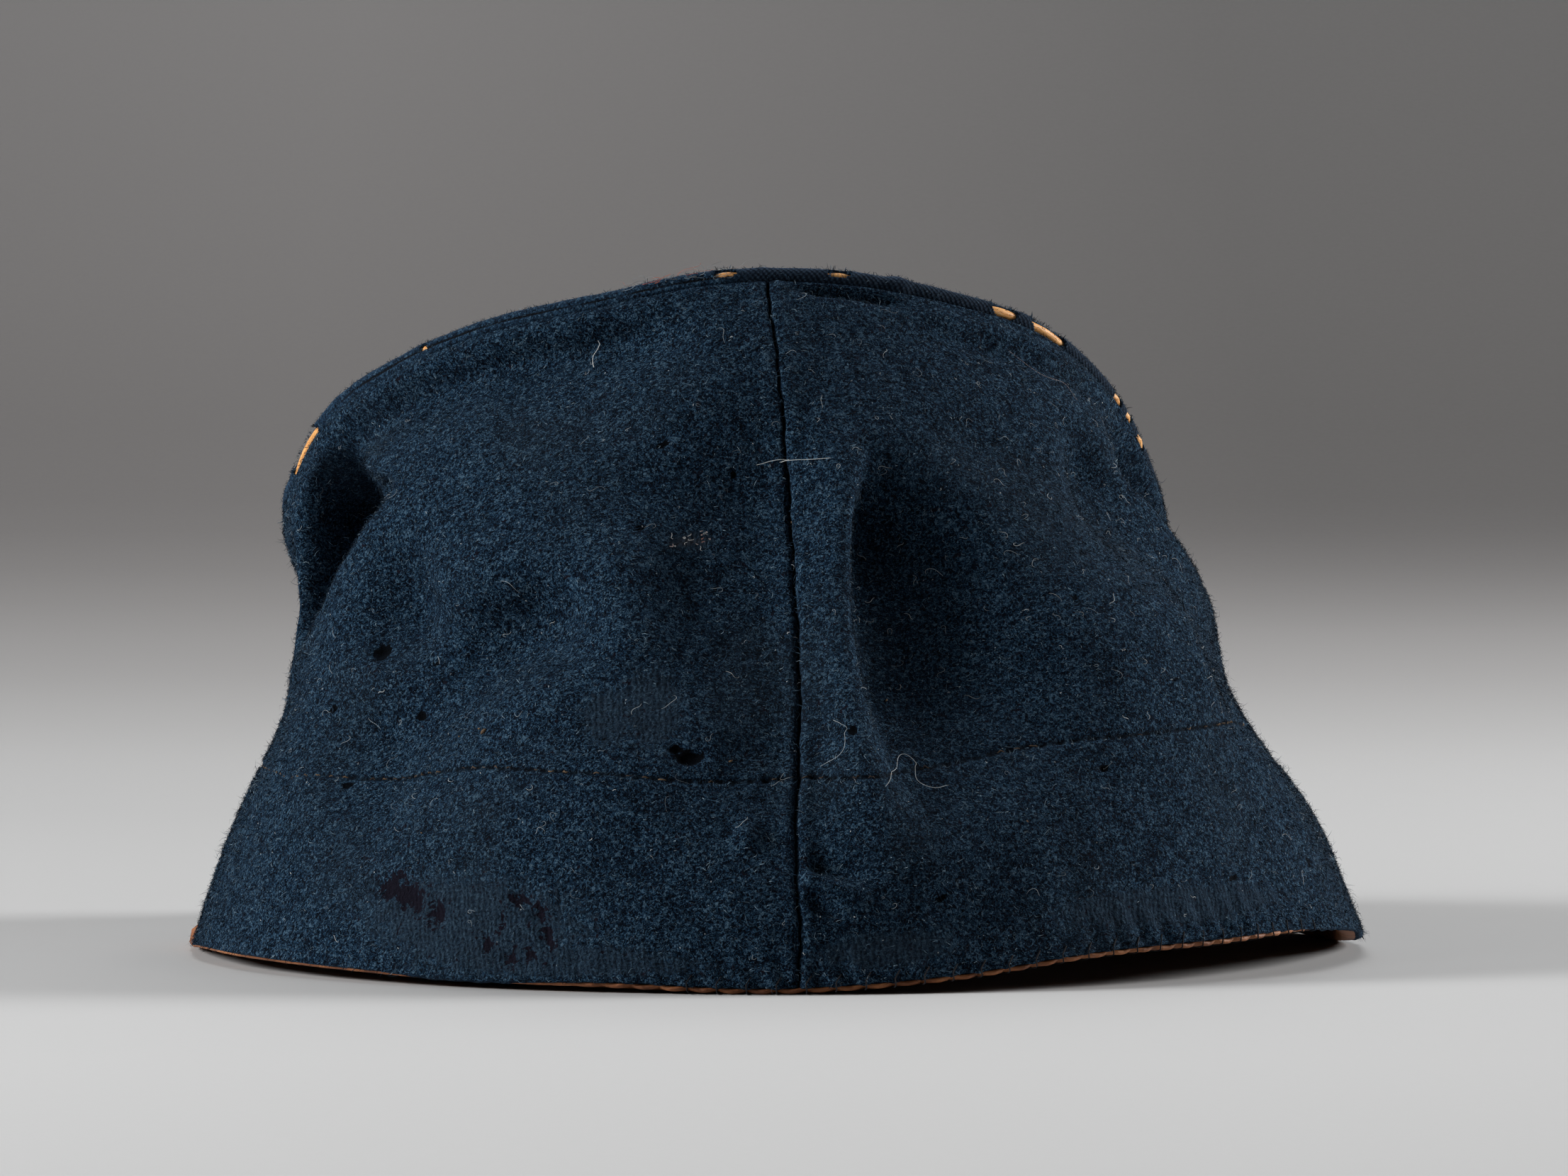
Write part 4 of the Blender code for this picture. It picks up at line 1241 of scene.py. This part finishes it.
# Single long hairs: their width and how far they stand off in mm, their tone, and the angles and shares
# that they pass through.
Hair = namedtuple("Hair", "name width lift tone places")
HAIRS = (
    Hair("hair_seam", 0.08, 0.3, 0.66, ((2.6, 0.724), (5.0, 0.729), (7.5, 0.727), (10.6, 0.729))),
    Hair("hair_top", 0.11, 0.2, 0.62, (
        (-15.5, 0.955), (-15.45, 0.945), (-15.75, 0.933), (-16.25, 0.922), (-16.2, 0.912), (-15.85, 0.903),
    )),
    Hair("hair_loop", 0.065, 0.3, 0.5, (
        (7.6, 0.356), (8.3, 0.348), (8.4, 0.33), (8.2, 0.314), (7.6, 0.304), (6.7, 0.298), (5.9, 0.292),
    )),
    Hair("hair_low", 0.07, 0.3, 0.6, (
        (11.1, 0.262), (12.6, 0.279), (14.4, 0.292), (15.8, 0.296), (16.3, 0.284), (15.5, 0.263),
        (16.7, 0.252), (18.4, 0.254),
    )),
    Hair("hair_red", 0.035, 0.6, 0.88, ((36.5, 0.935), (40.5, 0.905), (44.5, 0.905), (46.5, 0.89))),
)


def make_hairs():
    run = np.linspace(0, 1, 40)
    for hair in HAIRS:
        knots = np.linspace(0, 1, len(hair.places))
        angle, share = (smooth_line(run, knots, column) for column in zip(*hair.places))
        _, normal, _ = on_side(angle, share)
        off = 0.75 + hair.lift * np.sin(math.pi * run) ** 2
        path = side_point(angle, share) + normal * off[:, None]
        wide = np.full((1, len(run)), hair.width)
        hair_mesh(hair.name, path[None], flat_on(path, normal)[None], wide, LINT, [hair.tone])


make_hairs()


# Each fleck's angle, share, half length in mm and tone.
FLECKS = (
    (-26.5, 0.357, 0.55, 0.75), (-27.4, 0.362, 0.3, 0.8), (-2.5, 0.307, 0.32, 1.0), (-31.0, 0.355, 0.2, 0.95),
    (17.0, 0.375, 0.28, 1.0), (6.0, 0.64, 0.16, 1.0), (-33.0, 0.21, 0.2, 0.9), (24.0, 0.20, 0.2, 0.9),
)


def make_flecks():
    """Specks of dirt and leather caught in the nap, as small rough lumps."""
    angle, share, size, tone = np.array(FLECKS).T[..., None]
    place, normal, round_ = on_side(angle, share)
    run = np.linspace(-1, 1, 5)
    turn = RNG.uniform(0, math.pi, angle.shape)[..., None]
    way = np.cos(turn) * round_ + np.sin(turn) * np.cross(normal, round_)
    paths = place + normal * 0.15 + way * (run * size)[..., None]
    radii = np.sqrt(1 - (run * 0.96) ** 2) * size * 0.5
    thread_mesh("flecks", paths, normal, radii, tone)


make_flecks()


def make_running_stitches():
    """Worn tan thread showing between the needle holes that hold the sweatband."""
    per_degree = girth_per_degree(SEWN_AT)
    half_turn = int(180 / STITCH_PITCH * per_degree)
    centre = np.arange(-half_turn, half_turn) * STITCH_PITCH / per_degree
    centre = centre[RNG.random(len(centre)) < 0.30 + 0.40 * ease((-8 - centre) / 8)][:, None]
    run = np.linspace(-1, 1, 7)
    half = 0.36 * STITCH_PITCH / per_degree * RNG.uniform(0.7, 1.15, centre.shape)
    angle = centre + half * run
    share = stitch_share(angle) + RNG.normal(0, 0.0009, angle.shape)
    place, normal, _ = on_side(angle, share)
    sunk = 0.05 - 0.45 * run**2 + RNG.normal(0, 0.04, centre.shape)
    radii = RNG.uniform(0.08, 0.12, centre.shape) * np.ones(len(run))
    tone = RNG.beta(2.8, 1.9, len(centre))
    thread_mesh("band_stitches", place + normal * sunk[..., None], normal, radii, tone)


make_running_stitches()


def make_whip_stitches():
    """Dark thread over the hem, where it is sewn to the edge of the leather."""
    centre = np.arange(-8, 62) * HEM_PITCH / girth_per_degree(0.0)
    centre = centre[(centre > -8) & (centre < 60)]
    out = outward(centre)
    hem, hem_out, _ = on_side(centre, np.full(len(centre), 0.004))
    above, above_out, _ = on_side(centre + 0.5, np.full(len(centre), 0.016))
    rim = rim_point(centre)
    knots = np.stack([
        above - above_out * 0.25, above + above_out * 0.18, hem + hem_out * 0.22,
        rim + out * 0.02 + [0, 0, 0.30], rim - out * 1.1 + [0, 0, 0.06], rim - out * 2.4 + [0, 0, 0.10],
    ], axis=1)
    fine = np.linspace(0, knots.shape[1] - 1, 13)
    low = np.minimum(fine.astype(int), knots.shape[1] - 2)
    part = (ease(fine - low) + fine - low)[:, None] / 2
    paths = knots[:, low] * (1 - part) + knots[:, low + 1] * part
    ups = unit(np.cross(np.gradient(paths, axis=1), np.cross(out, [0, 0, 1])[:, None]))
    radii = np.full(paths.shape[:2], 0.10)
    thread_mesh("hem_stitches", paths, ups, radii, np.full(len(centre), 0.08))


make_whip_stitches()


def make_frays():
    """Broken threads that stand up round the openings of the welt's cover."""
    count, steps = 520, 4
    rows, columns = cover_edges
    pick = RNG.integers(0, len(rows), count)
    row = np.minimum(rows[pick] + RNG.random(count), COVER_SIDES - 1.001)
    place, normal, _ = cover.at(row, columns[pick] + RNG.random(count))
    run = np.linspace(0, 1, steps)[:, None]
    long_ = RNG.uniform(0.3, 0.9, (count, 1, 1))
    way = normal * RNG.uniform(0.2, 1.0, (count, 1)) + RNG.normal(0, 0.6, (count, 3)) + [0, 0, 0.25]
    way = unit(way)[:, None]
    bend = unit(RNG.normal(0, 1, (count, 1, 3)))
    paths = place[:, None] + way * long_ * run + bend * long_ * 0.35 * run**2
    sides = unit(np.cross(way, RNG.normal(0, 1, (count, 1, 3))))
    wide = RNG.uniform(0.08, 0.16, (count, 1)) * np.array([1, 0.9, 0.7, 0.3])
    hair_mesh("welt_frays", paths, sides, wide, NAP, RNG.beta(1.6, 2.4, count))


make_frays()


def make_fluff():
    """A tangle of pale and reddish hairs caught on top of the welt."""
    count, steps = 46, 12
    angle = RNG.uniform(-10, 4, count) - 1.5
    place, normal, round_ = cover.at(RNG.uniform(2, 8, count), column_at(angle, cover_angles))
    place, normal, round_ = place[:, None], normal[:, None], round_[:, None]
    run = np.linspace(0, 1, steps)
    start = RNG.uniform(-0.6, 0.6, count)[:, None] + RNG.choice([0, math.pi], count)[:, None]
    turn = start + RNG.normal(0, 2.6, (count, 1)) * run
    turn += 0.8 * np.sin(6 * run + RNG.uniform(0, 6, (count, 1)))
    step = RNG.uniform(1.5, 6.0, (count, 1, 1)) / steps
    flat = np.cos(turn)[..., None] * round_ + 0.45 * np.sin(turn)[..., None] * np.array([0, -0.2, 0.9])
    paths = place + np.cumsum(flat * step, axis=1) + normal * 0.3
    wide = RNG.uniform(0.04, 0.08, (count, 1)) * np.ones(steps)
    tone = np.where(RNG.random(count) < 0.22, 1.0, RNG.beta(1.5, 2.5, count) * 0.7)
    hair_mesh("welt_fluff", paths, flat_on(paths, normal), wide, LINT, tone)


make_fluff()

# ---------------------------------------------------------------- the table, light and camera

# The sweep lies flat from SWEEP_START as far as SWEEP_TURNS, then rises in a quarter of a circle and goes
# straight up. These are its places in metres.
SWEEP_START = 1.5
SWEEP_TURNS = -0.45
SWEEP_RADIUS = 1.30
SWEEP_TOPS = (1.6, 2.2)
SWEEP_HALF = 2.6
# Painted light: how pale the paper is painted along the floor, from FLOOR_SPAN mm in front of the origin to
# as far behind it, and up the first RISE_SPAN mm of the rise, darker where the lamps' light falls off.
FLOOR_SPAN = 1500.0
RISE_SPAN = 500.0
FLOOR_PAINTED_LIGHT = (
    (0, 0.224), (0.17, 0.344), (0.30, 0.449), (0.487, 0.4525), (0.538, 0.497), (0.574, 0.531),
    (0.61, 0.541), (1, 0.552),
)
RISE_PAINTED_LIGHT = (
    (0, 1), (0.0098, 0.961), (0.020, 0.906), (0.0394, 0.803), (0.054, 0.714), (0.074, 0.625), (0.093, 0.519),
    (0.114, 0.417), (0.136, 0.347), (0.158, 0.318), (0.206, 0.322), (0.31, 0.379), (0.42, 0.432),
    (0.524, 0.483), (1, 0.55),
)


def sweep_paper_painted_light():
    """Pale paper, with painted shade where the photo's light falls off on it."""
    t = Tree("sweep_paper_painted_light")
    x, y, z = t.split(t.mm)
    along = ((y + FLOOR_SPAN) * (0.5 / FLOOR_SPAN)).clamped()
    floor = t.ramp(along, [(at, (s,) * 3) for at, s in FLOOR_PAINTED_LIGHT])
    up = (z * (1 / RISE_SPAN)).clamped()
    rise = t.ramp(up, [(at, (s, s * (0.93 + 0.07 * s), s * (0.91 + 0.09 * s))) for at, s in RISE_PAINTED_LIGHT])
    # Painted light: higher on the rise the paper is painted lighter towards +X and darker towards -X.
    aside = t.ramp((x * 0.00125 + 0.5).clamped(), ((0.30, (0.74,) * 3), (0.70, (1.12,) * 3)))
    rise = t.mix(t.band(up, 0.05, 0.16), rise, t.mix(1.0, rise, aside, "MULTIPLY"))
    speck = t.noise(0.6, 3.0)
    colour = t.mix(speck * 0.05, t.mix(1.0, floor, rise, "MULTIPLY"), (0.3, 0.3, 0.3))
    paper = t.finish(colour, 0.75, 0.25, t.bump(speck, 0.05, 0.1))
    # It is one-sided, so that the front of the cap can be looked at from behind it.
    behind = t.add("ShaderNodeNewGeometry", "Backfacing", {})
    clear = t.add("ShaderNodeBsdfTransparent", 0, {})
    seen = t.add("ShaderNodeMixShader", 0, {0: behind, 1: Signal(t, t.shader.outputs[0]), 2: clear})
    t.put(t.nodes["Material Output"].inputs["Surface"], seen)
    return paper


def make_stage():
    """A pale sweep: flat under the cap, then curving up into the backdrop."""
    back = SWEEP_TURNS - SWEEP_RADIUS
    profile = [(y, 0.0) for y in np.linspace(SWEEP_START, SWEEP_TURNS, 26)]
    for turn in np.radians(np.linspace(1.5, 90, 60)):
        profile.append((SWEEP_TURNS - SWEEP_RADIUS * math.sin(turn), SWEEP_RADIUS * (1 - math.cos(turn))))
    profile = np.array([*profile, *((back, up) for up in SWEEP_TOPS)])
    points = np.zeros((len(profile), 21, 3))
    points[..., 0] = np.linspace(-SWEEP_HALF, SWEEP_HALF, points.shape[1])
    points[..., 1:] = profile[:, None]
    quads = grid_quads(*points.shape[:2], closed_columns=False)
    mesh = bpy.data.meshes.new("sweep")
    mesh.from_pydata(points.reshape(-1, 3).tolist(), [], quads[:, ::-1].tolist())
    mesh.shade_smooth()
    mesh.materials.append(sweep_paper_painted_light())
    placed("sweep", mesh)


make_stage()


def area_light(name, place, target, width, height, power):
    light = bpy.data.lights.new(name, "AREA")
    light.shape = "RECTANGLE"
    light.size, light.size_y = width, height
    light.energy = power
    made = placed(name, light)
    made.location = place
    made.rotation_euler = (Vector(target) - Vector(place)).to_track_quat("-Z", "Y").to_euler()


# Low light grazes the cap from both sides, and weaker light comes from above.
CAP_MIDDLE = (0, 0.02, 0.05)
area_light("right_softbox", (-1.20, -0.26, 0.50), CAP_MIDDLE, 0.4, 0.4, 20)
area_light("left_softbox", (1.16, 0.30, 0.52), CAP_MIDDLE, 0.4, 0.4, 19)
area_light("left_front_softbox", (0.95, 0.90, 0.65), CAP_MIDDLE, 0.4, 0.4, 1.2)
area_light("top_softbox", (0.0, -1.0, 1.30), (0, -0.15, 0.0), 0.8, 0.8, 8)
area_light("backdrop_light", (0.0, -0.6, 1.9), (0, -1.6, 0.3), 1.6, 0.6, 8)

world = bpy.data.worlds.new("studio")
bpy.context.scene.world = world
world.use_nodes = True
air = world.node_tree.nodes["Background"].inputs
air["Color"].default_value = (0.75, 0.78, 0.82, 1)
air["Strength"].default_value = 0.02

CAMERA_AWAY = 0.850  # m behind the middle of the rim
CAMERA_UP = 0.057
CAMERA_ASIDE = -0.00096
CAMERA_PITCH = 0.00357  # radians down
PICTURE_WIDTH = 2212
FOCAL = 7978.0  # in the same unit as the picture's width
SENSOR = 36.0

camera = bpy.data.cameras.new("camera")
camera.sensor_width = SENSOR
camera.lens = FOCAL / PICTURE_WIDTH * SENSOR
camera.clip_start = 0.05
viewer = placed("camera", camera)
viewer.location = (CAMERA_ASIDE, CAMERA_AWAY + RIM_BEHIND * MM, CAMERA_UP)
viewer.rotation_euler = (math.pi / 2 - CAMERA_PITCH, 0, math.pi)
bpy.context.scene.camera = viewer
bpy.context.scene.view_settings.view_transform = "Standard"


def plain(box):
    return [[float(value) for value in corner] for corner in box]
